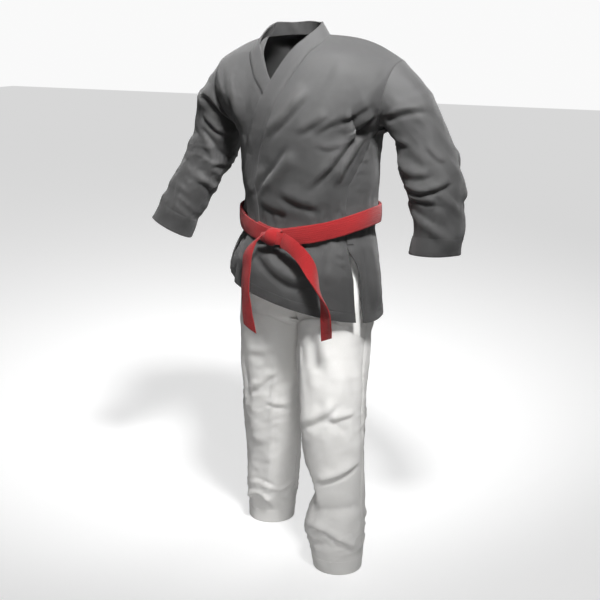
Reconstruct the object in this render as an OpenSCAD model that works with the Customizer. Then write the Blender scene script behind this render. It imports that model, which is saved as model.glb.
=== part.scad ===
// Martial arts uniform: a crossover jacket, a tied belt and drawstring trousers, shaped as if worn.
// The wearer faces -Y and the wearer's left is +X. The origin is the middle of the shoulder line,
// where the wearer's shoulders or a hanger hold the jacket.

/* [Levels] */
// Height of the shoulder mount above the trouser hems
mount_z = 1345; // [1335:1:1355]
// Height of the jacket hem at the wearer's left
hem_z = 672; // [668:1:676]
// How much higher the hem sits at the wearer's right
hem_rise = 106; // [98:1:110]
// Height of the middle of the belt at the sides
belt_z = 936; // [930:1:942]
// How far the belt drops at the front
belt_dip = 38; // [30:1:42]
// Height of the underarm point
armpit_z = 1150; // [1145:1:1155]
// Height of the shoulder line beside the neck
shoulder_z = 1392; // [1388:1:1396]
// Height of the hip pivots
hip_z = 770; // [766:1:774]

/* [Cloth] */
// Thickness of one layer of cloth with its seam allowance
cloth = 2.5; // [2:0.1:2.8]
// Thickness of a turned hem
hem_t = 3.4; // [3:0.1:3.6]
// Width of the jacket hem
hem_w = 25; // [20:1:30]
// Width of the lapel bands
lapel_w = 46; // [40:1:50]
// Width of the sleeve cuff hems
cuff_w = 44; // [36:1:50]
// Width of the trouser hems
leg_hem_w = 40; // [30:1:45]
// Height of the standing neck band
collar_h = 30; // [26:1:34]

/* [Belt] */
// Width of the belt
belt_w = 46; // [40:1:48]
// Thickness of the belt
belt_t = 3; // [2.6:0.1:3.2]
// Half width of the knot
knot_w = 27; // [24:1:30]
// Half height of the knot
knot_h = 21; // [18:1:24]

/* [Hidden] */
gap = 2;                  // clearance each side of a joint
seam = 0.4;               // half the slit between two panels, in degrees
front_layer = 7.4;        // how far the overlapping left front stands off the layer under it
lapel_t = 2.4;            // thickness of a lapel band
lapel_lift = 3.4;         // from the middle of a front panel to the middle of its lapel
inner_wrap = 18;          // from the jacket's cloth to the middle of the belt's inner turn
outer_wrap = 21.6;        // and of its outer turn
panel_z = hem_z + hem_w;   // lower edge of the panels
vent_z = belt_z - 60;     // top of the side vents
vent_open = 7;            // how far a side vent stands open, in degrees
charcoal = [0.22, 0.22, 0.23];
white = [0.86, 0.86, 0.84];
red = [0.72, 0.07, 0.08];

// Jacket body stations: [height, half width, half depth, middle y, drop at the sides]
torso = [
  [hem_z,           213, 155, -30,  0],
  [hem_z + 95,      206, 150, -24,  0],
  [belt_z - 75,     190, 140, -13,  0],
  [belt_z - 30,     175, 128,  -6,  0],
  [belt_z,          175, 128,  -6,  0],
  [belt_z + 30,     175, 128,  -6,  0],
  [belt_z + 84,     187, 140,  -4,  0],
  [belt_z + 164,    192, 146,  -6,  0],
  [armpit_z,        198, 147,  -8,  0],
  [armpit_z + 80,   222, 138,  -8, 14],
  [armpit_z + 140,  244, 114,  -6, 34],
  [shoulder_z - 45, 252,  76,  -4, 52],
  [shoulder_z - 12, 252,  32,  -1, 59],
  [shoulder_z,      252, 1.6,   0, 61]];
shoulder_x = 252;
shoulder_drop = 61;

// Directions round the body: 0 is the wearer's left, 90 the front, 180 the right, 270 the back
side_seam = [
  [hem_z, 30], [hem_z + 105, 31], [belt_z - 60, 36], [belt_z, 40], [belt_z + 90, 36], [armpit_z, 9],
  [shoulder_z, 9]];
back_seam = [[hem_z, -28], [belt_z, -26], [belt_z + 90, -22], [armpit_z, -9], [shoulder_z, -9]];
left_edge = [
  [hem_z, 132], [belt_z, 133], [belt_z + 84, 134], [belt_z + 164, 128],
  [armpit_z, 122], [armpit_z + 80, 112], [armpit_z + 140, 102],
  [shoulder_z - 45, 95], [shoulder_z - 12, 86], [shoulder_z, 79]];
right_edge = [
  [hem_z, 64], [belt_z, 62], [belt_z + 84, 62], [belt_z + 164, 66],
  [armpit_z, 74], [armpit_z + 80, 90], [armpit_z + 140, 104],
  [shoulder_z - 45, 113], [shoulder_z - 12, 117], [shoulder_z, 120]];

// Neck opening at the shoulder line
neck = [-36, -25];
neck_r = [92, 66];
neck_lean = [22, 8];

// Armholes: a slanted oval on a ball about the shoulder pivot
arm_tilt = 15;
arm_mid = [226, 0, 1242];
arm_out = [cos(arm_tilt), 0, -sin(arm_tilt)];
arm_up = [sin(arm_tilt), 0, cos(arm_tilt)];
arm_r = [76, 92];
arm_depth = 80;
arm_seam = 9;             // direction of the armhole's edge from the side
arm_reach = 52;           // how far round the body the armhole pulls the cloth, in degrees
function flip(p, side) = [side * p[0], p[1], p[2]];
function unit(v) = v / norm(v);
arm_pivot = arm_mid - arm_depth * arm_out;
arm_ball = norm([arm_depth, arm_r[1]]);
function armhole(angle, off, ball) =
  let (p = arm_mid + (arm_r[0] + off) * cos(angle) * [0, -1, 0] + (arm_r[1] + off) * sin(angle) * arm_up)
  arm_pivot + ball * unit(p - arm_pivot);

// Sleeve stations after the armhole: [order, middle x, y, z, half height, half depth]
left_sleeve_path = [
  [1, 262,  -1, 1215, 78, 74], [2, 312,  -6, 1140, 68, 68], [3, 345, -14, 1052, 74, 70],
  [4, 366, -24,  985, 66, 64], [5, 375, -36,  925, 62, 60], [6, 371, -48,  868, 64, 60]];
right_sleeve_path = [
  [1, 264,   1, 1213, 76, 74], [2, 280,   3, 1150, 68, 68], [3, 305,  -3, 1080, 63, 63],
  [4, 342, -22, 1005, 61, 60], [5, 378, -42,  932, 58, 58], [6, 409, -60,  866, 60, 57]];

// Leg stations: [height, middle x, middle y, half width, half depth]
left_leg_path = [
  [0, 154, -135, 64, 62], [leg_hem_w, 153, -134, 68, 66], [110, 148, -130, 76, 74], [250, 137, -120, 76, 76],
  [380, 123, -104, 82, 84], [500, 106, -74, 88, 93], [600, 94, -44, 89, 102], [700, 94, -26, 90, 108]];
right_leg_path = [
  [0, 153, 47, 66, 64], [leg_hem_w, 151, 46, 68, 66], [110, 143, 36, 73, 74], [250, 130, 18, 76, 78],
  [380, 118, -4, 78, 84], [500, 106, -14, 84, 93], [600, 96, -20, 89, 102], [700, 94, -22, 90, 108]];
hip_r = 150;
hip_y = -15;

// Trouser seat stations: [height, half width, half depth, middle y]
seat = [[600, 185, 118, -26], [700, 184, 120, -22], [800, 172, 117, -14], [860, 160, 112, -9],
  [900, 154, 108, -7], [940, 151, 105, -6], [990, 150, 104, -5]];
waist_z = 948;
waistband_h = 38;

// Smooth interpolation through a table whose rows start with the parameter
function span(x, t, i = 0) = i >= len(t) - 2 || x < t[i + 1][0] ? i : span(x, t, i + 1);
function slope(t, i) =
  let (a = max(i - 1, 0), b = min(i + 1, len(t) - 1)) (t[b] - t[a]) / (t[b][0] - t[a][0]);
function smooth_row(x, t) =
  let (i = span(x, t), h = t[i + 1][0] - t[i][0], s = (x - t[i][0]) / h)
  t[i] * (2 * pow(s, 3) - 3 * s * s + 1) + slope(t, i) * h * (pow(s, 3) - 2 * s * s + s)
  + t[i + 1] * (3 * s * s - 2 * pow(s, 3)) + slope(t, i + 1) * h * (pow(s, 3) - s * s);
function ease(x) = let (s = min(max(x, 0), 1)) s * s * (3 - 2 * s);
function mix(a, b, s) = a + (b - a) * s;

// Everything is drawn up from the trouser hems, then lowered so that the shoulder line is the origin
module placed(tint) {
  color(tint) translate([0, 0, -mount_z]) children();
}

// A cloth solid: the layer from -t/2 to t/2 about shape(u, v, off), closed round u if asked
module cloth_solid(shape, nu, nv, t = cloth, round = false) {
  m = round ? nu : nu + 1;
  layer = function (off) [for (i = [0:nv]) for (j = [0:m - 1]) shape(j / nu, i / nv, off)];
  id = function (k, i, j) k * (nv + 1) * m + i * m + (j % m);
  across = cross(shape(0.55, 0.5, 0) - shape(0.5, 0.5, 0), shape(0.5, 0.55, 0) - shape(0.5, 0.5, 0));
  outward = across * (shape(0.5, 0.5, 1) - shape(0.5, 0.5, -1)) > 0;
  quad = function (a, b, c, d) [[a, b, c], [a, c, d]];
  sides = round ? [] : [for (i = [0:nv - 1]) each concat(
    quad(id(0, i, 0), id(0, i + 1, 0), id(1, i + 1, 0), id(1, i, 0)),
    quad(id(0, i + 1, nu), id(0, i, nu), id(1, i, nu), id(1, i + 1, nu)))];
  tris = concat(
    [for (i = [0:nv - 1]) for (j = [0:nu - 1]) each concat(
      quad(id(0, i, j), id(0, i, j + 1), id(0, i + 1, j + 1), id(0, i + 1, j)),
      quad(id(1, i, j), id(1, i + 1, j), id(1, i + 1, j + 1), id(1, i, j + 1)))],
    [for (j = [0:nu - 1]) each concat(
      quad(id(0, 0, j + 1), id(0, 0, j), id(1, 0, j), id(1, 0, j + 1)),
      quad(id(0, nv, j), id(0, nv, j + 1), id(1, nv, j + 1), id(1, nv, j)))],
    sides);
  polyhedron(concat(layer(t / 2), layer(-t / 2)),
    outward ? [for (f = tris) [f[0], f[2], f[1]]] : tris, convexity = 6);
}

// A point of the jacket body at a height and a direction, off the middle of the cloth
function body_point(z, angle, off) =
  let (near_belt = ease((150 - abs(z + belt_dip / 2 - belt_z)) / 90),
    s = smooth_row(z + belt_drop(angle) * near_belt, torso), x = (s[1] + off) * cos(angle),
    rise = hem_rise * min(max(vent_z - z, 0) / (vent_z - panel_z), 1) * (1 - cos(angle)) / 2,
    top = ease((z - armpit_z - 80) / (shoulder_z - armpit_z - 80)),
    neck_back = sin(angle) < 0 && abs(x - neck[0]) < neck_r[0] + 8
      ? 44 * sqrt(1 - pow((x - neck[0]) / (neck_r[0] + 8), 2)) * ease((z - shoulder_z + 60) / 60) : 0)
  [x, s[3] - (s[2] + off) * sin(angle) + neck_back,
    z + rise - s[4] * pow(min(abs(x) / s[1], 1), 3.4) + off * top];

// The same point, pulled onto the armhole near the sides above the underarm
function jacket_point(z, angle, off) =
  let (side = cos(angle) < 0 ? -1 : 1, front = sin(angle) > 0 ? 1 : -1,
    from_side = side > 0 ? abs(((angle + 180) % 360) - 180) : abs(abs(angle) - 180),
    pull = ease(1 - (from_side - arm_seam) / arm_reach),
    share = min(max((z - armpit_z - 10) / (shoulder_z - armpit_z - 10), 0), 1),
    round = mix(-60, 88, pow(share, 0.9)),
    p = body_point(z, angle, off))
  z < armpit_z ? p :
  let (hole = armhole(front > 0 ? round : 180 - round, off, arm_ball - gap),
    edge = body_point(z, front * (side > 0 ? arm_seam : 180 - arm_seam), off),
    q = flip(p + pull * (flip(hole, side) - edge), side) - arm_pivot)
  abs(p[0]) < arm_pivot[0] + 20 ? p + pull * (flip(hole, side) - edge)
  : flip(arm_pivot + min(norm(q), arm_ball - gap + off) * unit(q), side);

module back_panel() {
  placed(charcoal) cloth_solid(function (u, v, off)
    let (z = mix(panel_z, shoulder_z, v), a = lookup(z, back_seam) - seam)
    jacket_point(z, mix(a, -180 - a, u), off), 26, 20);
}

// The gusset under each arm, from the underarm down to the hem, its front edge open below the vent's top
function vent(z) = vent_open * ease((vent_z - z) / 70);
module side_panel(side) {
  placed(charcoal) cloth_solid(function (u, v, off)
    let (z = mix(panel_z, armpit_z, v),
      a = mix(lookup(z, back_seam) + seam, lookup(z, side_seam) - seam - vent(z), u))
    body_point(z, side > 0 ? a : 180 - a, off), 7, 16);
}

// The left front crosses over the right one and stands off it
function left_lift(z, angle) =
  front_layer * ease((angle - lookup(z, side_seam)) / 16) * ease((shoulder_z - z) / 60);
function left_front(z, u, off) =
  let (a = mix(lookup(z, side_seam) + seam, lookup(z, left_edge), u))
  jacket_point(z, a, off + left_lift(z, a));
function right_front(z, u, off) =
  let (a = mix(180 - lookup(z, side_seam) - seam, lookup(z, right_edge), u)) jacket_point(z, a, off);

module left_front_panel() {
  placed(charcoal) cloth_solid(function (u, v, off) left_front(mix(panel_z, shoulder_z, v), u, off), 20, 20);
}

module right_front_panel() {
  placed(charcoal) cloth_solid(function (u, v, off) right_front(mix(panel_z, shoulder_z, v), u, off), 20, 20);
}

// A lapel band lies on a front panel along its edge
function band_angle(z) = lapel_w / (smooth_row(z, torso)[1] * 0.95) * 180 / PI;

module left_lapel() {
  placed(charcoal) cloth_solid(function (u, v, off)
    let (z = mix(panel_z, shoulder_z, v), e = lookup(z, left_edge))
    jacket_point(z, mix(e - band_angle(z), e, u), off + left_lift(z, e) + lapel_lift), 4, 20, lapel_t);
}

module right_lapel() {
  placed(charcoal) cloth_solid(function (u, v, off)
    let (z = mix(panel_z, shoulder_z, v), e = lookup(z, right_edge))
    jacket_point(z, mix(e, e + band_angle(z), u), off + lapel_lift), 4, 20, lapel_t);
}

// The standing band round the back and sides of the neck
module neck_band() {
  placed(charcoal) cloth_solid(function (u, v, off)
    let (a = mix(26, 154, u), x = neck[0] + (neck_r[0] + 3 - neck_lean[0] * v + off) * cos(a),
      y = neck[1] + (neck_r[1] + 2 - neck_lean[1] * v + off) * sin(a))
    [x, y, shoulder_z + cloth / 2 + 0.5 + collar_h * v], 20, 3, 4);
}

// The turned hems end just under the panels
hem_top = hem_w - 0.6;
module back_hem() {
  a = side_seam[0][1] - seam - vent_open;
  placed(charcoal) cloth_solid(function (u, v, off)
    body_point(hem_z + hem_top * v, mix(a, -180 - a, u), off), 40, 1, hem_t);
}

module left_front_hem() {
  placed(charcoal) cloth_solid(function (u, v, off) left_front(hem_z + hem_top * v, u, off), 14, 1, hem_t);
}

module right_front_hem() {
  placed(charcoal) cloth_solid(function (u, v, off) right_front(hem_z + hem_top * v, u, off), 12, 1, cloth);
}

// Small reinforcing patches over the tops of the side vents
module vent_patch(side) {
  lift = cloth / 2 + 3.5;
  placed(charcoal) cloth_solid(function (u, v, off)
    let (z = vent_z + 26 * v, a = lookup(z, side_seam) - mix(7, 0.6, u))
    body_point(z, side > 0 ? a : 180 - a, off + lift), 3, 2, 1.8);
}

// The ties inside the jacket hold the right front's edge to the left side
module tie_tape(from_angle, to_angle, z0, z1, depth) {
  cloth_solid(function (u, v, off)
    body_point(mix(z0, z1, u) + 12 * (v - 0.5), mix(from_angle, to_angle, u), off - depth), 5, 1, 1.6);
}

module inner_tie_right() { placed(charcoal) tie_tape(60, 51, belt_z + 64, belt_z + 52, 5); }
module inner_tie_left() { placed(charcoal) tie_tape(20, 42, belt_z + 62, belt_z + 52, 5); }

module inner_tie_knot() {
  p = body_point(belt_z + 52, 48, -9.5);
  placed(charcoal) translate(p) rotate([0, 0, -45]) {
    rotate([0, 90, 0]) cylinder(h = 9, r = 6, center = true, $fn = 24);
    for (s = [-1, 1]) rotate([s * 25, 0, 0]) translate([0, s * 5, -24]) cube([1.6, 9, 40], center = true);
  }
}

// Belt
function belt_drop(angle) = sin(angle) > 0 ? belt_dip * pow(sin(angle), 2) : 0;
function belt_point(angle, v, off) =
  let (s = smooth_row(belt_z, torso))
  [(s[1] + off) * cos(angle), s[3] - (s[2] + off) * sin(angle),
    belt_z + 7 * cos(angle) - belt_drop(angle) + belt_w * (v - 0.5)];

module belt_wrap(lift) {
  placed(red) cloth_solid(function (u, v, off) belt_point(360 * u, v, off + lift), 48, 1, belt_t, true);
}

knot_mid = [-22, -171, 894];
module belt_knot() {
  placed(red) translate(knot_mid) hull() {
    for (s = [-1, 1])
      translate([s * (knot_w - 13), 0, 0]) scale([1, 0.85, (knot_h - 2) / 13]) sphere(13, $fn = 20);
    scale([1, 1.05, knot_h / 14]) sphere(14, $fn = 20);
  }
}

// A tail is a flat ribbon: points down its middle, with the angle its width is turned about the fall line
module ribbon(path, width) {
  n = len(path) - 1;
  cloth_solid(function (u, v, off)
    let (p = smooth_row(n * v, path), a = p[4], side = [cos(a), sin(a), 0], face = [sin(a), -cos(a), 0])
    [p[1], p[2], p[3]] + width * (u - 0.5) * (side * p[5] + [0, 0, p[6]]) + off * face, 3, 18, belt_t);
}

// Tail paths: [order, x, y, z, turn, sideways share of the width, upright share of the width]
right_tail_path = [[0, -56, -176, 893, 25, 0.35, 0.50], [1, -72, -182, 872, 30, 0.55, 0.30],
  [2, -86, -190, 830, 34, 0.75, 0.05], [3, -88, -198, 764, 34, 0.90, 0], [4, -80, -204, 708, 34, 0.95, 0],
  [5, -68, -208, 654, 34, 0.95, 0]];
left_tail_path = [[0, 14, -184, 892, 8, 0.30, 0.85], [1, 46, -188, 880, 14, 0.45, 0.75],
  [2, 88, -190, 848, 30, 0.60, 0.45], [3, 122, -192, 790, 45, 0.85, 0.10], [4, 144, -192, 720, 52, 0.90, 0],
  [5, 149, -192, 652, 52, 0.90, 0]];
tail_w = belt_w - 4;
module right_belt_tail() { placed(red) ribbon(right_tail_path, tail_w); }
module left_belt_tail() { placed(red) ribbon(left_tail_path, tail_w); }

// Sleeves: ring 0 lies on the ball of the armhole, the others square to the sleeve's line
function sleeve_ring(path, order, angle, off, side) =
  order < 0.01 ? flip(armhole(angle, off, arm_ball + gap), side) :
  let (s = smooth_row(order, path), ahead = min(order + 0.05, 6),
    q = smooth_row(ahead, path), r = smooth_row(ahead - 0.1, path),
    along = unit([q[1] - r[1], q[2] - r[2], q[3] - r[3]]),
    forward = unit([0, -1, 0] + along[1] * along), up = cross(forward, along),
    p = [s[1], s[2], s[3]] + (s[5] + off) * cos(angle) * forward + (s[4] + off) * sin(angle) * up,
    reach = max(norm(p - arm_pivot), arm_ball + gap + 3 * min(order, 2) + off))
  flip(arm_pivot + reach * unit(p - arm_pivot), side);

cuff_from = 5.28;
head = 1 / 15;            // the sleeve's first row runs from the armhole to the first station

module sleeve(path, side) {
  placed(charcoal) cloth_solid(function (u, v, off)
    let (order = v < head / 2 ? 0 : mix(1, cuff_from, (v - head) / (1 - head)))
    sleeve_ring(path, order, 360 * u, off, side), 24, 15, cloth, true);
}

module cuff(path, side) {
  placed(charcoal) cloth_solid(function (u, v, off)
    sleeve_ring(path, mix(cuff_from, 6, v), 360 * u, off, side), 24, 2, hem_t, true);
}

// Trousers
function seat_point(z, angle, off) =
  let (s = smooth_row(z, seat), c = cos(angle), n = sin(angle), e = 2 / lookup(z, [[700, 2.5], [850, 2]]))
  [(s[1] + off) * sign(c) * pow(abs(c), e), s[3] - (s[2] + off) * sign(n) * pow(abs(n), e), z];

// The lower edge of the seat and the upper edge of the legs lie on a cylinder about the hip axis
function hip_edge(y, r) = hip_z - sqrt(r * r - pow(y - hip_y, 2));
function on_hip(side_y, r, z = 680, steps = 4) =
  steps == 0 ? z : on_hip(side_y, r, hip_edge(side_y(z), r), steps - 1);

module seat_piece(a0, a1) {
  placed(white) cloth_solid(function (u, v, off)
    let (a = mix(a0, a1, u), low = on_hip(function (z) seat_point(z, a, 0)[1], hip_r - gap))
    seat_point(mix(low, waist_z, v), a, off), 12, 9);
}

module trouser_waistband() {
  placed(white) cloth_solid(function (u, v, off)
    seat_point(waist_z + waistband_h * v, 360 * u, off), 40, 1, 5.4, true);
}

// The elastic lies in the casing's upper half, inside the cloth
module waist_elastic() {
  placed([0.9, 0.9, 0.9]) cloth_solid(function (u, v, off)
    seat_point(waist_z + 9 + 22 * v, 360 * u, off - 4.2), 40, 1, 1.6, true);
}

// A flat drawstring tied in a bow at the front of the waistband
module trouser_drawstring() {
  loop_r = 10;
  tail_h = 56;
  p = seat_point(waist_z + 20, 90, 8.5);
  placed(white) translate(p) {
    rotate([0, 90, 0]) cylinder(h = 9, r = 5, center = true, $fn = 24);
    for (s = [-1, 1]) {
      translate([s * (loop_r + 3), 0, 0]) rotate([90, 0, 0]) difference() {
        cylinder(h = 4, r = loop_r, center = true, $fn = 48);
        cylinder(h = 5, r = loop_r - 1.6, center = true, $fn = 48);
      }
      rotate([-9, -s * 9, 0]) translate([s * 5, 0, -tail_h / 2]) cube([7, 1.6, tail_h], center = true);
    }
  }
}

// The gusset bridges the legs under the crotch
module crotch_gusset() {
  placed(white) cloth_solid(function (u, v, off)
    let (a = mix(-47, 47, v), r = hip_r - gap - 4 + off, w = 34 * (1 - pow(abs(2 * v - 1), 2) * 0.6))
    [w * (2 * u - 1), hip_y + r * sin(a), hip_z - r * cos(a)], 4, 14);
}

function leg_point(path, z, angle, off, side) =
  let (s = smooth_row(z, path), c = cos(angle), n = sin(angle),
    e = 2 / lookup(z, [[0, 2], [450, 2.1], [700, 2.6]]),
    x = s[1] + (s[3] + off) * sign(c) * pow(abs(c), e),
    y = s[2] - (s[4] + off) * sign(n) * pow(abs(n), e))
  flip([x, y, z], side);

module leg_half(path, side, a0, a1) {
  placed(white) cloth_solid(function (u, v, off)
    let (a = mix(a0, a1, u), high = on_hip(function (z) leg_point(path, z, a, 0, 1)[1], hip_r + gap))
    leg_point(path, mix(leg_hem_w, high, v), a, off, side), 12, 14);
}

module leg_hem(path, side) {
  placed(white) cloth_solid(function (u, v, off)
    leg_point(path, leg_hem_w * v, 360 * u, off, side), 24, 1, hem_t, true);
}

back_panel();
side_panel(1);  // left_side_panel
side_panel(-1);  // right_side_panel
left_front_panel();
right_front_panel();
left_lapel();
right_lapel();
neck_band();
back_hem();
left_front_hem();
right_front_hem();
vent_patch(1);  // left_vent_patch
vent_patch(-1);  // right_vent_patch
inner_tie_right();
inner_tie_left();
inner_tie_knot();
belt_wrap(inner_wrap);  // belt_inner_wrap
belt_wrap(outer_wrap);  // belt_outer_wrap
belt_knot();
right_belt_tail();
left_belt_tail();
trouser_waistband();
waist_elastic();
trouser_drawstring();
seat_piece(0, 90);  // left_seat_front
seat_piece(90, 180);  // right_seat_front
seat_piece(-90, 0);  // left_seat_back
seat_piece(180, 270);  // right_seat_back
crotch_gusset();
sleeve(left_sleeve_path, 1);  // left_sleeve
cuff(left_sleeve_path, 1);  // left_cuff
sleeve(right_sleeve_path, -1);  // right_sleeve
cuff(right_sleeve_path, -1);  // right_cuff
leg_half(left_leg_path, 1, 0, 180);  // left_leg_front
leg_half(left_leg_path, 1, 180, 360);  // left_leg_back
leg_hem(left_leg_path, 1);  // left_leg_hem
leg_half(right_leg_path, -1, 0, 180);  // right_leg_front
leg_half(right_leg_path, -1, 180, 360);  // right_leg_back
leg_hem(right_leg_path, -1);  // right_leg_hem
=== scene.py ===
"""Looks of a martial arts uniform: crossover jacket, tied belt and drawstring trousers, shaped as if worn.

The shapes repeat the CAD part's: millimetres above the trouser hems, the wearer facing -Y and the
wearer's left at +X. to_row() turns them into the row frame, in metres about the shoulder line.
"""

import math

import bpy
import numpy as np
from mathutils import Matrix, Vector


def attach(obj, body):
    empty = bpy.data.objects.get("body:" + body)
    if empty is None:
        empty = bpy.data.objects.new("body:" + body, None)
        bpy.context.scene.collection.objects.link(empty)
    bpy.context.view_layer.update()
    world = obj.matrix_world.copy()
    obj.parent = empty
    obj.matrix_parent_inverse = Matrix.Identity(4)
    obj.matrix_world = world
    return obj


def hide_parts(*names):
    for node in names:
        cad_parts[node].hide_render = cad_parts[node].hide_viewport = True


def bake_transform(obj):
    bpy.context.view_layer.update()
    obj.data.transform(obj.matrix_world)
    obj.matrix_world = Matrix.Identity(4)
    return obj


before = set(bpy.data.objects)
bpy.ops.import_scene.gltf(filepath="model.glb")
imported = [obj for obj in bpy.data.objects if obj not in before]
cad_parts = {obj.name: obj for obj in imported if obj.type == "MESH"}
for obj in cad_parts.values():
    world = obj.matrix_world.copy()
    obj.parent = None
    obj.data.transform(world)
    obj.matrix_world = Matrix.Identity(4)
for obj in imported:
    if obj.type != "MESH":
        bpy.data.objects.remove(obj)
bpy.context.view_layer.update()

ROOT = "jacket_and_waist"

# Sizes are in mm and directions in degrees, as in the CAD part. Levels first
MOUNT_Z = 1345
HEM_Z = 672
HEM_RISE = 106
BELT_Z = 936
BELT_DIP = 38
ARMPIT_Z = 1150
SHOULDER_Z = 1392
HIP_Z = 770
HIP_Y = -15
HIP_R = 150
GUSSET_R = HIP_R - 14  # tucked in between the legs
WAIST_Z = 948
WAISTBAND_H = 38

# Cloth
CLOTH = 2.5
HEM_T = 3.4
HEM_W = 25
LAPEL_W = 46
LAPEL_T = 3.2
CUFF_FROM = 5.28
LEG_HEM_W = 40
COLLAR_H = 30
FRONT_LAYER = 7.4
LAPEL_LIFT = 3.2
PANEL_Z = HEM_Z + HEM_W
VENT_Z = BELT_Z - 60
VENT_OPEN = 7
VENT_PATCH_H = 26
EDGE_SHARE = 0.72  # a cloth's edge is this much of its thickness
SEAM_W = 3
SEAM_DEPTH = 0.9
LEG_SEAM_DEPTH = 1.2
LEG_STITCH_TOP_Z = 540
STITCH_LIFT = CLOTH / 2 + 0.2
HEM_STITCH_LIFT = HEM_T / 2 + 0.2
SEAM_COLUMNS = (3, -4)  # grid columns a few millimetres in from a panel's edges
BAND_LINES = (3, 7, -4)
ROUND = np.arange(0, 360, 4.0)
ROUND_FINE = np.arange(0, 360, 2.0)

# Belt
BELT_W = 46
BELT_T = 3
KNOT_T = 3.4
KNOT_CURL = -3.2
INNER_WRAP = 18
OUTER_WRAP = 21.6
TAIL_W = 42
KNOT = np.array([-22.0, -171, 894])
TIE_W = 12
TIE_DEPTH = 5

# Height, half width, half depth, middle Y, how far the cloth drops at the sides
TORSO = np.array([
    [HEM_Z, 213, 155, -30, 0],
    [HEM_Z + 95, 206, 150, -24, 0],
    [BELT_Z - 75, 190, 140, -13, 0],
    [BELT_Z - 30, 175, 128, -6, 0],
    [BELT_Z, 175, 128, -6, 0],
    [BELT_Z + 30, 175, 128, -6, 0],
    [BELT_Z + 84, 187, 140, -4, 0],
    [BELT_Z + 164, 192, 146, -6, 0],
    [ARMPIT_Z, 198, 147, -8, 0],
    [ARMPIT_Z + 80, 222, 138, -8, 14],
    [ARMPIT_Z + 140, 244, 114, -6, 34],
    [SHOULDER_Z - 45, 252, 76, -4, 52],
    [SHOULDER_Z - 12, 252, 32, -1, 59],
    [SHOULDER_Z, 252, 0.3, 0, 61]], float)
# Seams and front edges as (height, direction in degrees)
SIDE_SEAM = [(HEM_Z, 30), (HEM_Z + 105, 31), (BELT_Z - 60, 36), (BELT_Z, 40), (BELT_Z + 90, 36),
             (ARMPIT_Z, 9), (SHOULDER_Z, 9)]
BACK_SEAM = [(HEM_Z, -28), (BELT_Z, -26), (BELT_Z + 90, -22), (ARMPIT_Z, -9), (SHOULDER_Z, -9)]
LEFT_EDGE = [(HEM_Z, 130), (BELT_Z, 131), (BELT_Z + 84, 131), (BELT_Z + 164, 125), (ARMPIT_Z, 118),
             (ARMPIT_Z + 80, 107), (ARMPIT_Z + 140, 99), (SHOULDER_Z - 45, 92), (SHOULDER_Z - 12, 85),
             (SHOULDER_Z, 79)]
RIGHT_EDGE = [(HEM_Z, 64), (BELT_Z, 62), (BELT_Z + 84, 62), (BELT_Z + 164, 66), (ARMPIT_Z, 74),
              (ARMPIT_Z + 80, 90), (ARMPIT_Z + 140, 104), (SHOULDER_Z - 45, 113), (SHOULDER_Z - 12, 117),
              (SHOULDER_Z, 120)]
# Middle and radii of the neck, and how far the standing band leans in
NECK, NECK_R, NECK_LEAN = (-36, -25), (95, 68), (22, 8)
NECK_FROM = 26
STAND_FROM_Z = 1318  # the lapels leave the body here and meet the standing band above JOIN_FROM_Z
JOIN_FROM_Z = 1352

ARM_TILT = math.radians(15)
ARM_MID = np.array([226, 0, 1242.0])
ARM_OUT = np.array([math.cos(ARM_TILT), 0, -math.sin(ARM_TILT)])
ARM_UP = np.array([math.sin(ARM_TILT), 0, math.cos(ARM_TILT)])
ARM_R = (76, 92)
ARM_DEPTH = 80
ARM_PIVOT = ARM_MID - ARM_DEPTH * ARM_OUT
ARM_BALL = math.hypot(ARM_DEPTH, ARM_R[1])
ARM_SEAM = 9
ARM_REACH = 52

# Order along the sleeve, middle X Y Z, half height, half depth
LEFT_SLEEVE = np.array([
    [1, 262, -1, 1215, 78, 74], [2, 312, -6, 1140, 68, 68], [3, 345, -14, 1052, 74, 70],
    [4, 366, -24, 985, 66, 64], [5, 375, -36, 925, 62, 60], [6, 371, -48, 868, 64, 60]], float)
RIGHT_SLEEVE = np.array([
    [1, 264, 1, 1213, 76, 74], [2, 280, 3, 1150, 68, 68], [3, 305, -3, 1080, 63, 63],
    [4, 342, -22, 1005, 61, 60], [5, 378, -42, 932, 58, 58], [6, 409, -60, 866, 60, 57]], float)
# Height, middle X and Y, half width, half depth
LEFT_LEG = np.array([
    [0, 154, -135, 64, 62], [LEG_HEM_W, 153, -134, 68, 66], [110, 148, -130, 76, 74],
    [250, 137, -120, 76, 76], [380, 123, -104, 82, 84], [500, 106, -74, 88, 93],
    [600, 94, -44, 89, 102], [700, 94, -26, 90, 108]], float)
RIGHT_LEG = np.array([
    [0, 153, 47, 66, 64], [LEG_HEM_W, 151, 46, 68, 66], [110, 143, 36, 73, 74],
    [250, 130, 18, 76, 78], [380, 118, -4, 78, 84], [500, 106, -14, 84, 93],
    [600, 96, -20, 89, 102], [700, 94, -22, 90, 108]], float)
# Height, half width, half depth, middle Y
SEAT = np.array([
    [600, 185, 118, -26], [700, 184, 120, -22], [800, 172, 117, -14], [860, 160, 112, -9],
    [900, 154, 108, -7], [940, 151, 105, -6], [990, 150, 104, -5]], float)
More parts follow.
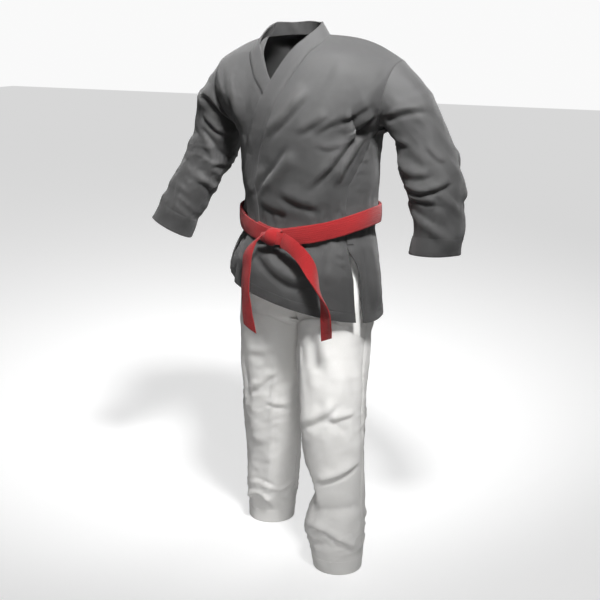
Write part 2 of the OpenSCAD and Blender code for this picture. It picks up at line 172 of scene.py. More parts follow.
# Order along the tail, middle X Y Z, direction of its width seen from above, its shares across and up
RIGHT_TAIL = np.array([
    [0, -56, -180, 893, 8, 0.45, 0.45], [1, -73, -189, 872, -8, 0.62, 0.30],
    [2, -85, -195, 830, -24, 0.86, 0.05], [3, -87, -201, 764, -32, 0.97, 0],
    [4, -80, -206, 708, -24, 0.98, 0], [5, -70, -209, 654, -14, 0.98, 0]])
LEFT_TAIL = np.array([
    [0, 14, -186, 892, 8, 0.30, 0.88], [1, 46, -192, 880, 18, 0.50, 0.72],
    [2, 88, -196, 846, 42, 0.76, 0.42], [3, 122, -198, 790, 102, 0.97, 0.05],
    [4, 144, -195, 720, 150, 0.98, 0], [5, 149, -193, 652, 158, 0.98, 0]])

# Folds: (height, width, side that its valley is on, points along it). A line that runs to the wearer's
# left has its +1 side below it. Jacket and trouser points are (height, direction), sleeve points
# (order along the sleeve, direction).
FOLD_GAIN = 1.35
FOLD_STEPS = 28
CHEST_FOLDS = [
    (8, 13, -1, [(1266, 75), (1208, 86), (1145, 104)]),
    (5, 12, 1, [(1160, 68), (1186, 58), (1204, 46), (1212, 34)]),
    (5, 12, -1, [(1216, 58), (1186, 68), (1160, 80)]),
    (9, 12, -1, [(1214, 12), (1196, 24), (1150, 38), (1078, 55), (1016, 74)]),
    (5, 11, -1, [(1150, 26), (1120, 33), (1075, 42), (1040, 46)]),
    (4, 10, -1, [(1104, 38), (1068, 44), (1030, 48)]),
    (9, 14, 1, [(1118, 80), (1060, 93), (1002, 110)]),
    (6, 12, -1, [(1070, 106), (1030, 114), (990, 122)]),
    (3, 9, -1, [(1240, 22), (1222, 32), (1196, 46)]),
    (3, 9, 1, [(1136, 64), (1126, 54), (1142, 42)]),
    (6, 16, 1, [(1018, 94), (992, 78), (978, 58)]),
    (5, 14, 1, [(985, 112), (968, 98), (958, 84)]),
    (3, 18, 1, [(1335, 142), (1250, 136), (1150, 132)]),
    (3, 20, 1, [(1335, 58), (1270, 60), (1180, 66)]),
]
SKIRT_FOLDS = [
    (4, 17, 1, [(892, 50), (840, 52), (760, 54)]),
    (2.5, 7, 1, [(852, 47), (843, 40)]),
    (2.2, 6, 1, [(828, 46), (820, 38)]),
    (8, 18, 1, [(850, 114), (796, 96), (766, 80), (784, 62)]),
    (3, 18, -1, [(900, 120), (830, 124), (740, 122)]),
    (6, 20, 1, [(890, 8), (800, 6), (690, 4)]),
    (7, 24, 1, [(900, -50), (800, -48), (690, -46)]),
    (7, 24, 1, [(900, -88), (800, -92), (690, -96)]),
    (2, 24, 1, [(900, -132), (800, -128), (690, -126)]),
]
BACK_FOLDS = [
    (5, 20, 1, [(1240, -40), (1120, -56), (1000, -66)]),
    (5, 20, -1, [(1240, -140), (1120, -124), (1000, -114)]),
    (4, 22, 1, [(1010, -78), (1080, -90), (1180, -98)]),
    (5, 12, 1, [(1200, -12), (1180, -30), (1120, -44)]),
    (5, 12, -1, [(1200, -168), (1180, -150), (1120, -136)]),
    (2.4, 6, 1, [(1092, 26), (1084, 14)]),
    (2.4, 6, 1, [(1062, 27), (1056, 18)]),
    (2.4, 6, 1, [(1018, 30), (1012, 20)]),
]
LEFT_SLEEVE_FOLDS = [
    (-20, 34, 0, [(-0.3, -92), (0.5, -90), (1.2, -88), (2.0, -84)]),
    (7, 12, 1, [(0.85, -34), (1.02, -10), (1.12, 15), (1.28, 42), (1.5, 68)]),
    (4.5, 11, 1, [(1.3, -46), (1.75, -28), (2.1, 2)]),
    (4, 8, 1, [(2.2, 28), (2.55, 41), (2.7, 56)]),
    (5, 11, 1, [(2.1, -58), (2.6, -35), (2.87, -3), (2.9, 28)]),
    (8, 10, 1, [(2.95, -48), (3.2, -25), (3.43, 0), (3.38, 35), (3.2, 58)]),
    (6, 9, 1, [(3.28, -52), (3.75, -8), (3.92, 22)]),
    (3.5, 12, -1, [(4.15, -58), (4.7, -20), (5.0, 15)]),
    (3.5, 14, 1, [(4.1, 24), (4.7, 14), (5.3, 8)]),
    (-7, 9, 0, [(3.05, -62), (3.12, -95), (3.05, -135)]),
    (-6, 9, 0, [(3.5, -64), (3.5, -98), (3.42, -135)]),
    (5, 14, 1, [(2.4, 110), (2.9, 135), (3.0, 170)]),
    (5, 14, 1, [(3.9, 85), (3.7, 120), (3.45, 160)]),
    (5, 12, 1, [(1.2, 200), (1.7, 170), (2.2, 140)]),
]
RIGHT_SLEEVE_FOLDS = [
    (6, 11, 1, [(0.85, 42), (0.55, 12), (0.5, -14), (0.8, -50)]),
    (7, 10, 1, [(1.45, 16), (1.7, -8), (1.92, -26), (2.02, -58)]),
    (6, 10, -1, [(2.25, 22), (2.67, -17), (3.2, -37), (3.9, -52)]),
    (5, 9, 1, [(3.95, -22), (3.86, -48), (3.95, -76), (3.6, -96)]),
    (4.5, 10, 1, [(3.3, -30), (3.1, -62), (2.95, -100)]),
    (4, 10, 1, [(2.55, -40), (2.75, -70), (2.8, -110)]),
    (3, 14, 1, [(4.3, 10), (4.8, -6), (5.3, -14)]),
    (-7, 9, 0, [(3.35, -90), (3.4, -125), (3.3, -160)]),
    (5, 14, 1, [(2.2, 150), (2.7, 120), (3.1, 85)]),
    (5, 14, 1, [(3.6, 160), (3.8, 125), (4.1, 95)]),
    (5, 12, 1, [(1.1, 200), (1.5, 165), (1.8, 130)]),
]
LEG_BACK_FOLDS = [
    (-7, 10, 0, [(420, -50), (408, -90), (424, -130)]),
    (-6, 10, 0, [(372, -55), (362, -92), (370, -125)]),
    (6, 14, 1, [(300, -30), (270, -80), (290, -130)]),
    (7, 12, 1, [(150, -20), (118, -80), (140, -140)]),
    (5, 18, 1, [(620, -60), (560, -80), (480, -90)]),
]
LEFT_LEG_FOLDS = LEG_BACK_FOLDS + [
    (6, 11, 1, [(396, 138), (434, 92), (452, 74), (480, 58)]),
    (-4.5, 8, 0, [(380, 124), (417, 90), (420, 63), (372, 26)]),
    (4.5, 9, 1, [(428, 72), (438, 48), (440, 20)]),
    (8, 11, 1, [(262, 108), (286, 60), (312, 14)]),
    (-5, 12, 0, [(146, 140), (180, 98), (190, 57), (190, -4)]),
    (8, 10, 1, [(128, 146), (134, 97), (112, 60), (62, 4)]),
    (-5, 7, 0, [(68, 132), (90, 99), (76, 70)]),
    (-19, 30, 0, [(238, 108), (220, 140), (208, 175), (205, 205)]),
    (7, 26, 0, [(126, 112), (112, 148), (112, 190)]),
    (3, 18, 1, [(640, 108), (560, 98), (470, 92)]),
    (4, 16, -1, [(620, 150), (520, 158), (400, 164)]),
    (5, 14, 1, [(250, 150), (330, 165), (380, 190)]),
    (-5, 9, 0, [(80, -40), (66, -85), (80, -130)]),
]
RIGHT_LEG_FOLDS = LEG_BACK_FOLDS + [
    (2, 4.5, 0, [(640, 121), (470, 121), (342, 117), (212, 112), (90, 111)]),
    (3, 11, 1, [(430, 62), (470, 95), (508, 122)]),
    (2.5, 11, 1, [(416, 98), (404, 130), (392, 162)]),
    (7, 8, 1, [(66, 44), (96, 72), (98, 98), (52, 128)]),
    (5, 8, -1, [(128, 60), (140, 92), (118, 128)]),
    (4, 7, 1, [(660, 78), (690, 92), (656, 104)]),
    (5, 12, -1, [(640, 52), (655, 80), (640, 108)]),
    (2.5, 16, 1, [(560, 60), (572, 96), (600, 130)]),
    (2, 16, 1, [(290, 44), (284, 90), (304, 130)]),
    (4, 15, -1, [(560, 40), (440, 52), (330, 56)]),
]
SEAT_FOLDS = [
    (3, 12, 1, [(660, 116), (710, 104), (770, 98)]),
    (3, 12, -1, [(660, 64), (710, 76), (770, 82)]),
    (3, 14, 1, [(660, 148), (700, 130), (740, 112)]),
    (3, 14, -1, [(660, 32), (700, 50), (740, 68)]),
    (6, 20, 1, [(660, -60), (720, -76), (800, -84)]),
    (6, 20, -1, [(660, -120), (720, -104), (800, -96)]),
]


def ease(x):
    s = np.clip(x, 0, 1)
    return s * s * (3 - 2 * s)


def mix(a, b, s):
    return a + (b - a) * s


def unit(v):
    return v / np.maximum(np.linalg.norm(v, axis=-1, keepdims=True), 1e-9)


def look(x, pairs):
    """Straight lines through (x, value) pairs."""
    return np.interp(x, [p[0] for p in pairs], [p[1] for p in pairs])


def smooth_row(x, table):
    """Smooth interpolation through a table whose rows start with the parameter."""
    x = np.asarray(x, float)
    t, n = table[:, 0], len(table)
    i = np.clip(np.searchsorted(t, x, "right") - 1, 0, n - 2)
    before, after = np.maximum(np.arange(n) - 1, 0), np.minimum(np.arange(n) + 1, n - 1)
    slope = (table[after] - table[before]) / (t[after] - t[before])[:, None]
    h = (t[i + 1] - t[i])[..., None]
    s = (x[..., None] - t[i][..., None]) / h
    return (table[i] * (2 * s**3 - 3 * s * s + 1) + slope[i] * h * (s**3 - 2 * s * s + s)
            + table[i + 1] * (3 * s * s - 2 * s**3) + slope[i + 1] * h * (s**3 - s * s))


def smooth_line(points, count):
    """count points on a smooth line through the given ones."""
    p = np.array(points, float)
    return smooth_row(np.linspace(0, len(p) - 1, count), np.column_stack([np.arange(len(p)), p]))[:, 1:]


def flip(p, side):
    return p * np.stack([side, np.ones_like(side), np.ones_like(side)], -1)


def belt_drop(angle):
    s = np.sin(angle)
    return np.where(s > 0, BELT_DIP * s * s, 0)


def belt_line(degrees):
    """Height of the belt's middle in a direction."""
    a = np.radians(degrees)
    return BELT_Z + 7 * np.cos(a) - belt_drop(a)


def body_point(z, degrees, off=0.0):
    z, degrees, off = np.broadcast_arrays(np.asarray(z, float), degrees, off)
    a = np.radians(degrees)
    near_belt = ease((150 - abs(z + BELT_DIP / 2 - BELT_Z)) / 90)
    s = smooth_row(z + belt_drop(a) * near_belt, TORSO)
    x = (s[..., 1] + off) * np.cos(a)
    rise = HEM_RISE * np.clip((VENT_Z - z) / (VENT_Z - PANEL_Z), 0, 1) * (1 - np.cos(a)) / 2
    top = ease((z - ARMPIT_Z - 80) / (SHOULDER_Z - ARMPIT_Z - 80))
    round_neck = np.sqrt(np.maximum(1 - ((x - NECK[0]) / (NECK_R[0] + 2)) ** 2, 0))
    neck_back = np.maximum(NECK[1] + (NECK_R[1] + 3) * round_neck, 0) * ease((z - SHOULDER_Z + 60) / 60)
    neck_back = np.where(np.sin(a) < 0, neck_back, 0)
    y = s[..., 3] - (s[..., 2] + off) * np.sin(a) + neck_back
    drop = s[..., 4] * np.minimum(abs(x) / s[..., 1], 1) ** 3.4
    return np.stack([x, y, z + rise - drop + off * top], -1)


def armhole(degrees, off=0.0):
    a = np.radians(degrees)[..., None]
    off = np.broadcast_to(off, np.shape(degrees))[..., None]
    p = (ARM_MID + (ARM_R[0] + off) * np.cos(a) * np.array([0, -1, 0])
         + (ARM_R[1] + off) * np.sin(a) * ARM_UP)
    return ARM_PIVOT + ARM_BALL * unit(p - ARM_PIVOT)


def jacket_point(z, degrees, off=0.0):
    """A point of the jacket's body, pulled onto the armhole near the sides above the underarm."""
    z, degrees, off = (v.astype(float) for v in np.broadcast_arrays(z, degrees, off))
    p = body_point(z, degrees, off)
    a = np.radians(degrees)
    side = np.where(np.cos(a) < 0, -1.0, 1.0)
    front = np.where(np.sin(a) > 0, 1.0, -1.0)
    wrapped = (degrees + 180) % 360 - 180
    from_side = np.where(side > 0, abs(wrapped), 180 - abs(wrapped))
    pull = ease(1 - (from_side - ARM_SEAM) / ARM_REACH)
    share = np.clip((z - ARMPIT_Z - 10) / (SHOULDER_Z - ARMPIT_Z - 10), 0, 1)
    turn = mix(-60, 89.7, share**0.9)
    hole = armhole(np.where(front > 0, turn, 180 - turn), off)
    edge = body_point(z, front * np.where(side > 0, ARM_SEAM, 180 - ARM_SEAM), off)
    q = p + pull[..., None] * (flip(hole, side) - edge)
    r = flip(q, side) - ARM_PIVOT
    far = np.linalg.norm(r, axis=-1)
    held = flip(ARM_PIVOT + (np.minimum(far, ARM_BALL + off) / np.maximum(far, 1e-9))[..., None] * r, side)
    q = np.where(abs(p[..., :1]) < ARM_PIVOT[0] + 20, q, held)
    return np.where((z < ARMPIT_Z)[..., None], p, q)


def left_lift(z, degrees):
    """How far the overlapping left front stands off the layer under it."""
    return FRONT_LAYER * ease((degrees - look(z, SIDE_SEAM)) / 16) * ease((SHOULDER_Z - z) / 60)


def belt_fill(z, degrees, lift):
    """The cloth under and beside the belt comes out to the belt's inner face."""
    away = (z - belt_line(degrees)) / 46
    return (INNER_WRAP - BELT_T / 2 - CLOTH / 2 - 0.6 - lift) * np.exp(-(away**2) * np.where(away < 0, 2.2, 1))


def sleeve_ring(path, order, degrees, off, side):
    order, degrees, off = (v.astype(float) for v in np.broadcast_arrays(order, degrees, off))
    t = np.maximum(order, 1)
    s = smooth_row(t, path)
    ahead = np.minimum(t + 0.05, 6)
    along = unit((smooth_row(ahead, path) - smooth_row(ahead - 0.1, path))[..., 1:4])
    forward = unit(np.array([0, -1, 0]) + along[..., 1:2] * along)
    up = np.cross(forward, along)
    a = np.radians(degrees)[..., None]
    o = off[..., None]
    p = s[..., 1:4] + (s[..., 5:6] + o) * np.cos(a) * forward + (s[..., 4:5] + o) * np.sin(a) * up
    r = p - ARM_PIVOT
    far = np.linalg.norm(r, axis=-1, keepdims=True)
    p = ARM_PIVOT + np.maximum(far, ARM_BALL + 3 * np.minimum(t, 2)[..., None] + o) * r / far
    share = np.clip(order, 0, 1)[..., None]
    p = np.where((order < 1)[..., None], mix(armhole(degrees, off), p, share), p)
    return p * np.array([side, 1, 1])


def leg_point(path, z, degrees, off, side):
    z, degrees, off = (v.astype(float) for v in np.broadcast_arrays(z, degrees, off))
    s = smooth_row(z, path)
    c, n = np.cos(np.radians(degrees)), np.sin(np.radians(degrees))
    e = 2 / np.interp(z, [0, 450, 700], [2, 2.1, 2.6])
    x = s[..., 1] + (s[..., 3] + off) * np.sign(c) * abs(c) ** e
    y = s[..., 2] - (s[..., 4] + off) * np.sign(n) * abs(n) ** e
    return np.stack([side * x, y, z], -1)


def seat_point(z, degrees, off=0.0):
    z, degrees, off = (v.astype(float) for v in np.broadcast_arrays(z, degrees, off))
    s = smooth_row(z, SEAT)
    c, n = np.cos(np.radians(degrees)), np.sin(np.radians(degrees))
    e = 2 / np.interp(z, [700, 850], [2.5, 2])
    x = (s[..., 1] + off) * np.sign(c) * abs(c) ** e
    y = s[..., 3] - (s[..., 2] + off) * np.sign(n) * abs(n) ** e
    return np.stack([x, y, z], -1)


def on_hip(shape, reach):
    """The height at which shape(z) meets the cylinder about the hip axis."""
    z = np.full_like(reach, 680.0)
    for _ in range(5):
        y = shape(z)[..., 1]
        z = HIP_Z - np.sqrt(np.maximum(HIP_R**2 - (y - HIP_Y) ** 2, 0))
    return z


def ripple(p, size, seed):
    """Soft uneven noise of about unit height that repeats over roughly size mm."""
    rng = np.random.default_rng(seed)
    total = 0
    for _ in range(6):
        d = unit(rng.normal(size=3)) * rng.uniform(0.7, 1.4) * 2 * math.pi / size
        phase = rng.uniform(0, 2 * math.pi)
        bend = 1.1 * np.sin(p @ np.roll(d, 1) * 0.7 + 2 * phase)
        total = total + np.sin(p @ d + phase + bend)
    return total / 2.6


def creases(p, size, seed):
    """A net of narrow soft ridges, 0 to 1, spaced about size mm."""
    return np.exp(-((ripple(p, size, seed) / 0.22) ** 2))


def fold_field(p, n, folds, place):
    """How far the folds move each point of p along its outward direction n."""
    flat, out = p.reshape(-1, 3), n.reshape(-1, 3)
    moved = np.zeros(len(flat))
    for height, width, side, points in folds:
        line = smooth_line(points, FOLD_STEPS)
        line = place(line[:, 0], line[:, 1])
        tangent = unit(np.gradient(line, axis=0))
        reach = 5 * width
        near = np.nonzero(((flat > line.min(0) - reach) & (flat < line.max(0) + reach)).all(1))[0]
        if not len(near):
            continue
        gap = flat[near, None] - line[None]
        k = (gap**2).sum(-1).argmin(1)
        d = flat[near] - line[k]
        d = d - (d * tangent[k]).sum(-1, keepdims=True) * tangent[k] * ((k > 0) & (k < FOLD_STEPS - 1))[:, None]
        far = np.linalg.norm(d, axis=-1) / width
        hand = np.sign((d * np.cross(tangent[k], out[near])).sum(-1))
        s = k / (FOLD_STEPS - 1)
        taper = ease(np.minimum(s, 1 - s) / 0.3 + 0.12)
        crest = np.exp(-1.5 * far) * (1 + 1.5 * far)
        valley = -0.75 / (1 + 1.4 * (hand * far - 1.2 * side) ** 2) ** 2 if side else 0
        moved[near] += FOLD_GAIN * height * taper * (crest + valley) * ease((5 - far) / 2)
    return moved.reshape(p.shape[:-1])


def stations(count, edge=0.012):
    """Parameters from 0 to 1 that lie closer together at both ends."""
    ends = np.array([0, 0.25, 0.55, 1]) * edge
    return np.concatenate([ends, np.linspace(edge, 1 - edge, count)[1:-1], 1 - ends[::-1]])


def to_row(p):
    return (np.asarray(p, float) - [0, 0, MOUNT_Z]) / 1000


def outward(place):
    """The direction in which place(off) moves off its surface."""
    return unit(place(1.0) - place(-1.0))


def grid_normals(p, closed):
    du = np.roll(p, -1, 1) - np.roll(p, 1, 1) if closed else np.gradient(p, axis=1)
    return unit(np.cross(du, np.gradient(p, axis=0)))


def normals(p, out, closed=False):
    """Unit normals of a grid of points, on the side that out points to."""
    n = grid_normals(p, closed)
    return n * np.sign((n * out).sum())


def add_mesh(name, verts, faces, uv, material, fade=None):
    mesh = bpy.data.meshes.new(name)
    mesh.from_pydata(verts.tolist(), [], faces.tolist())
    layer = mesh.uv_layers.new(name="weave")
    layer.data.foreach_set("uv", np.asarray(uv, np.float32).ravel())
    # The per-vertex share stored here is wear (lighter fold ridges and seams) and painted shade (darker fold
    # valleys).
    if fade is not None:
        mesh.attributes.new("fade", "FLOAT", "POINT").data.foreach_set("value", fade.astype(np.float32))
    mesh.polygons.foreach_set("use_smooth", np.ones(len(faces), bool))
    mesh.set_sharp_from_angle(angle=math.radians(55))
    mesh.materials.append(material)
    mesh.update()
    obj = bpy.data.objects.new(name, mesh)
    bpy.context.scene.collection.objects.link(obj)
    return obj


def grid_faces(rows, cols, closed):
    """Quads of a closed shell over a grid, as vertex indices and as indices into a wider UV grid."""
    last, width = (cols, cols + 1) if closed else (cols - 1, cols)

    def quads(*corners):
        vert, tex = [], []
        for layer, a, b in corners:
            vert.append((layer * rows + a) * cols + b % cols)
            tex.append(a * width + b)
        return np.stack(np.broadcast_arrays(*vert), -1), np.stack(np.broadcast_arrays(*tex), -1)

    i, j = (v.ravel() for v in np.meshgrid(np.arange(rows - 1), np.arange(last), indexing="ij"))
    e, c, top, end = np.arange(last), np.arange(rows - 1), rows - 1, cols - 1
    sets = [quads((0, i, j), (0, i, j + 1), (0, i + 1, j + 1), (0, i + 1, j)),
            quads((1, i, j), (1, i + 1, j), (1, i + 1, j + 1), (1, i, j + 1)),
            quads((0, 0, e + 1), (0, 0, e), (1, 0, e), (1, 0, e + 1)),
            quads((0, top, e), (0, top, e + 1), (1, top, e + 1), (1, top, e))]
    if not closed:
        sets += [quads((0, c, 0), (0, c + 1, 0), (1, c + 1, 0), (1, c, 0)),
                 quads((0, c + 1, end), (0, c, end), (1, c, end), (1, c + 1, end))]
    return np.concatenate([s[0] for s in sets]), np.concatenate([s[1] for s in sets])


def arc_lengths(p, axis):
    return np.linalg.norm(np.diff(p, axis=axis), axis=-1).sum(axis)


def run_lengths(p):
    """Distance along the polyline p up to each of its points."""
    return np.concatenate([[0], np.linalg.norm(np.diff(p, axis=0), axis=-1).cumsum()])


def shell(name, p, out, thickness, material, closed=False, fade=0.5, grain=0.0):
    """A closed cloth shell about the middle layer p, a grid of points in mm. Its UVs are metres of cloth."""
    rows, cols = p.shape[:2]
    half = np.full((rows, cols), thickness / 2)
    half[[0, -1]] *= EDGE_SHARE
    if not closed:
        half[:, [0, -1]] *= EDGE_SHARE
    n = grid_normals(p, closed) * half[..., None]
    faces, tex = grid_faces(rows, cols, closed)
    if (n * out).sum() < 0:
        n, faces, tex = -n, faces[:, ::-1], tex[:, ::-1]
    verts = np.concatenate([(p + n).reshape(-1, 3), (p - n).reshape(-1, 3)])
    ring = np.concatenate([p, p[:, :1]], 1) if closed else p
    across, along = run_lengths(ring[rows // 2]), run_lengths(p[:, cols // 2])
    uv = np.stack(np.broadcast_arrays(across[None], along[:, None]), -1).reshape(-1, 2) / 1000 + grain
    fade = np.tile(np.broadcast_to(fade, (rows, cols)).ravel(), 2)
    obj = add_mesh(name, to_row(verts), faces, uv[tex.ravel()], material, fade)
    wide, tall = arc_lengths(ring, 1).max() / 1000, arc_lengths(p, 0).max() / 1000
    du, dv = np.diff(ring, axis=1)[:-1], np.diff(ring, axis=0)[:, :-1]
    area = np.linalg.norm(np.cross(du, dv), axis=-1).sum() / 1e6
    obj["cut"] = [wide, tall, float(area)]
    return obj


def piece(name, p, out, thickness, material, slot, node=None, held="hung", body=ROOT, **shade):
    """A shell with its body, the CAD node it stands for and the flat cut it was made from. slot is not used."""
    obj = shell(name, p, out, thickness, material, **shade)
    if body:
        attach(obj, body)
    if node:
        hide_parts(node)
    return obj


def seam_dip(distance):
    return np.exp(-((distance / SEAM_W) ** 2))


def stitched(p, n, lift, rows=(), columns=()):
    """Lines for stitches() along rows and columns of a grid p, lift above its middle layer."""
    return ([(p[i] + n[i] * lift, n[i]) for i in rows]
            + [(p[:, j] + n[:, j] * lift, n[:, j]) for j in columns])


def along_line(at, s, p):
    return np.stack([np.interp(at, s, p[:, k]) for k in range(3)], -1)


def stitches(name, lines, material, body=ROOT, pitch=4.2, length=3.0, radius=0.42):
    """Topstitching: one small thread bead per stitch along lines of (points, outward directions) in mm."""
    verts, faces = [], []
    for p, n in lines:
        s = run_lengths(p)
        at = np.arange(pitch / 2, s[-1], pitch)
        c = along_line(at, s, p)
        m = unit(along_line(at, s, n))
        t = unit(along_line(at + 1, s, p) - along_line(at - 1, s, p))
        w = np.cross(t, m)
        ring = np.stack([c - t * length / 2, c + t * length / 2, c + w * radius, c - w * radius,
                         c + m * radius, c - m * radius], 1)
        base = len(verts) * 6
        start = base + 6 * np.arange(len(at))
        verts.extend(ring)
        for a, b in ((2, 4), (4, 3), (3, 5), (5, 2)):
            faces.append(np.stack([start, start + a, start + b], -1))
            faces.append(np.stack([start + 1, start + b, start + a], -1))
    verts = np.concatenate(verts)
    faces = np.concatenate(faces)
    uv = np.tile([[0, 0], [0.001, 0], [0, 0.001]], (len(faces), 1))
    obj = add_mesh(name, to_row(verts), faces, uv, material)
    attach(obj, body)


# Materials
class Nodes:
    """A material's node tree with short calls to add and link nodes."""

    def __init__(self, name):
        self.material = bpy.data.materials.new(name)
        self.material.use_nodes = True
        self.tree = self.material.node_tree
        self.shader = self.tree.nodes["Principled BSDF"]

    def add(self, kind, **inputs):
        node = self.tree.nodes.new(kind)
        for key, value in inputs.items():
            self.put(node, key.replace("_", " "), value)
        return node

    def put(self, node, key, value):
        socket = node.inputs[int(key[3:])] if key.startswith("at ") else node.inputs[key]
        if isinstance(value, bpy.types.NodeSocket):
            self.tree.links.new(value, socket)
        else:
            socket.default_value = value

    def math(self, operation, a, b=0.0):
        node = self.tree.nodes.new("ShaderNodeMath")
        node.operation = operation
        self.put(node, "at 0", a)
        self.put(node, "at 1", b)
        return node.outputs[0]

    def blend(self, share, a, b):
        node = self.tree.nodes.new("ShaderNodeMix")
        node.data_type = "RGBA"
        self.put(node, "at 0", share)
        for socket, value in ((node.inputs[6], a), (node.inputs[7], b)):
            if isinstance(value, bpy.types.NodeSocket):
                self.tree.links.new(value, socket)
            else:
                socket.default_value = (*value, 1)
        return node.outputs[2]


def cloth_material(name, deep, light, pitch=0.0011, relief=0.0003, sheen=0.1, rows=0.0, rough_from=0.78,
                   shine=0.25):
    """Woven cotton: over-and-under threads, slubs, mottled dye, a per-vertex share that is wear on fold ridges and
    seams and painted shade in fold valleys and, if asked, rows of stitches.

    pitch, relief and rows are in metres, as the cloth's UVs are.
    """
    m = Nodes(name)
    uv = m.add("ShaderNodeUVMap").outputs[0]
    spread = m.add("ShaderNodeVectorMath", at_0=uv, at_1=(1 / pitch,) * 3)
    spread.operation = "MULTIPLY"
    threads = []
    for direction in ("X", "Y"):
        wave = m.add("ShaderNodeTexWave", Vector=uv, Scale=math.pi / 10 / pitch, Distortion=0.6)
        wave.bands_direction = direction
        wave.inputs["Detail Scale"].default_value = 0.4
        threads.append(wave.outputs[1])
    checker = m.add("ShaderNodeTexChecker", Vector=spread.outputs[0], Scale=1.0)
    weave = m.tree.nodes.new("ShaderNodeMix")
    m.put(weave, "at 0", checker.outputs[1])
    m.put(weave, "at 2", threads[0])
    m.put(weave, "at 3", threads[1])
    slub = m.add("ShaderNodeTexNoise", Vector=uv, Scale=240.0, Detail=4.0)
    dye = m.add("ShaderNodeTexNoise", Vector=uv, Scale=14.0, Detail=5.0)
    fade = m.add("ShaderNodeAttribute")
    fade.attribute_name = "fade"
    total = m.math("ADD", m.math("MULTIPLY", dye.outputs[0], 0.45), m.math("MULTIPLY", slub.outputs[0], 0.25))
    # Painted shade: the per-vertex share darkens fold valleys; on fold ridges and seams it lightens the cloth as
    # wear.
    total = m.math("ADD", total, m.math("MULTIPLY", fade.outputs[2], 0.4))
    total = m.math("ADD", total, m.math("MULTIPLY", weave.outputs[0], 0.12))
    share = m.add("ShaderNodeClamp", Value=total).outputs[0]
    m.put(m.shader, "Base Color", m.blend(share, deep, light))
    rough = m.add("ShaderNodeMapRange", Value=slub.outputs[0])
    rough.inputs[3].default_value = rough_from
    rough.inputs[4].default_value = rough_from + 0.19
    m.put(m.shader, "Roughness", rough.outputs[0])
    height = m.math("ADD", weave.outputs[0], m.math("MULTIPLY", slub.outputs[0], 0.8))
    if rows:
        stitch = m.add("ShaderNodeTexWave", Vector=uv, Scale=math.pi / 10 / rows)
        stitch.bands_direction = "Y"
        groove = m.math("POWER", stitch.outputs[1], 0.35)
        height = m.math("ADD", height, m.math("MULTIPLY", groove, 2.2))
    fine = m.add("ShaderNodeBump", Strength=0.55, Distance=relief, Height=height)
    pucker = m.add("ShaderNodeTexNoise", Vector=uv, Scale=75.0, Detail=3.0)
    bump = m.add("ShaderNodeBump", Strength=0.35, Distance=0.0012, Height=pucker.outputs[0],
                 Normal=fine.outputs[0])
    m.put(m.shader, "Normal", bump.outputs[0])
    m.put(m.shader, "Sheen Weight", sheen)
    m.put(m.shader, "Sheen Roughness", 0.55)
    m.put(m.shader, "Specular IOR Level", shine)
    return m.material


def thread_material(name, color):
    m = Nodes(name)
    twist = m.add("ShaderNodeTexNoise", Scale=900.0, Detail=2.0)
    m.put(m.shader, "Base Color", m.blend(twist.outputs[0], [c * 0.75 for c in color], color))
    m.put(m.shader, "Roughness", 0.7)
    return m.material


heavy = dict(relief=0.00035, sheen=0.16, rough_from=0.5, shine=0.55)
jacket_cloth = cloth_material("jacket_cotton", (0.008, 0.008, 0.009), (0.039, 0.0385, 0.038), **heavy)
lapel_cloth = cloth_material("lapel_cotton", (0.0075, 0.0075, 0.0085), (0.036, 0.0355, 0.035), **heavy)
trouser_cloth = cloth_material("trouser_cotton", (0.70, 0.69, 0.67), (0.86, 0.85, 0.83))
belt_cloth = cloth_material("belt_cotton", (0.16, 0.004, 0.005), (0.33, 0.011, 0.013), 0.0012, 0.0004, 0.15,
                            rows=0.0055)
tape_cloth = cloth_material("tape_cotton", (0.02, 0.02, 0.021), (0.06, 0.06, 0.06), 0.0009)
elastic_cloth = cloth_material("elastic_knit", (0.72, 0.72, 0.72), (0.86, 0.86, 0.86), 0.0018, 0.0005)
cord_cloth = cloth_material("drawstring_cotton", (0.74, 0.74, 0.72), (0.88, 0.88, 0.86), 0.0014, 0.0005)
charcoal_thread = thread_material("charcoal_thread", (0.03, 0.03, 0.032))
white_thread = thread_material("white_thread", (0.74, 0.73, 0.7))


def jacket_drape(p, n, z, degrees):
    """Folds and soft unevenness of the jacket's body, quiet under the belt and at the shoulders."""
    moved = fold_field(p, n, CHEST_FOLDS + SKIRT_FOLDS + BACK_FOLDS, lambda a, b: jacket_point(a, b, 4))
    away = abs(z - belt_line(degrees))
    low = ease((BELT_Z - z) / 60)
    calm = ease((SHOULDER_Z - 40 - z) / 120)
    moved = moved + ripple(p, 150, 3) * mix(1.2, 2.6, low) * mix(0.4, 1, calm)
    moved = moved + ripple(p, 46, 5) * 0.5 * calm
    moved = moved + creases(p * np.array([1, 1, 0.7]), 90, 8) * 0.7 * calm
    pleat = np.sin(np.radians(degrees) * 31 + 1.3 * np.sin(np.radians(degrees) * 7)) * 1.7
    moved = moved + pleat * np.exp(-(((away - 34) / 22) ** 2))
    return moved * ease((away - 10) / 26)


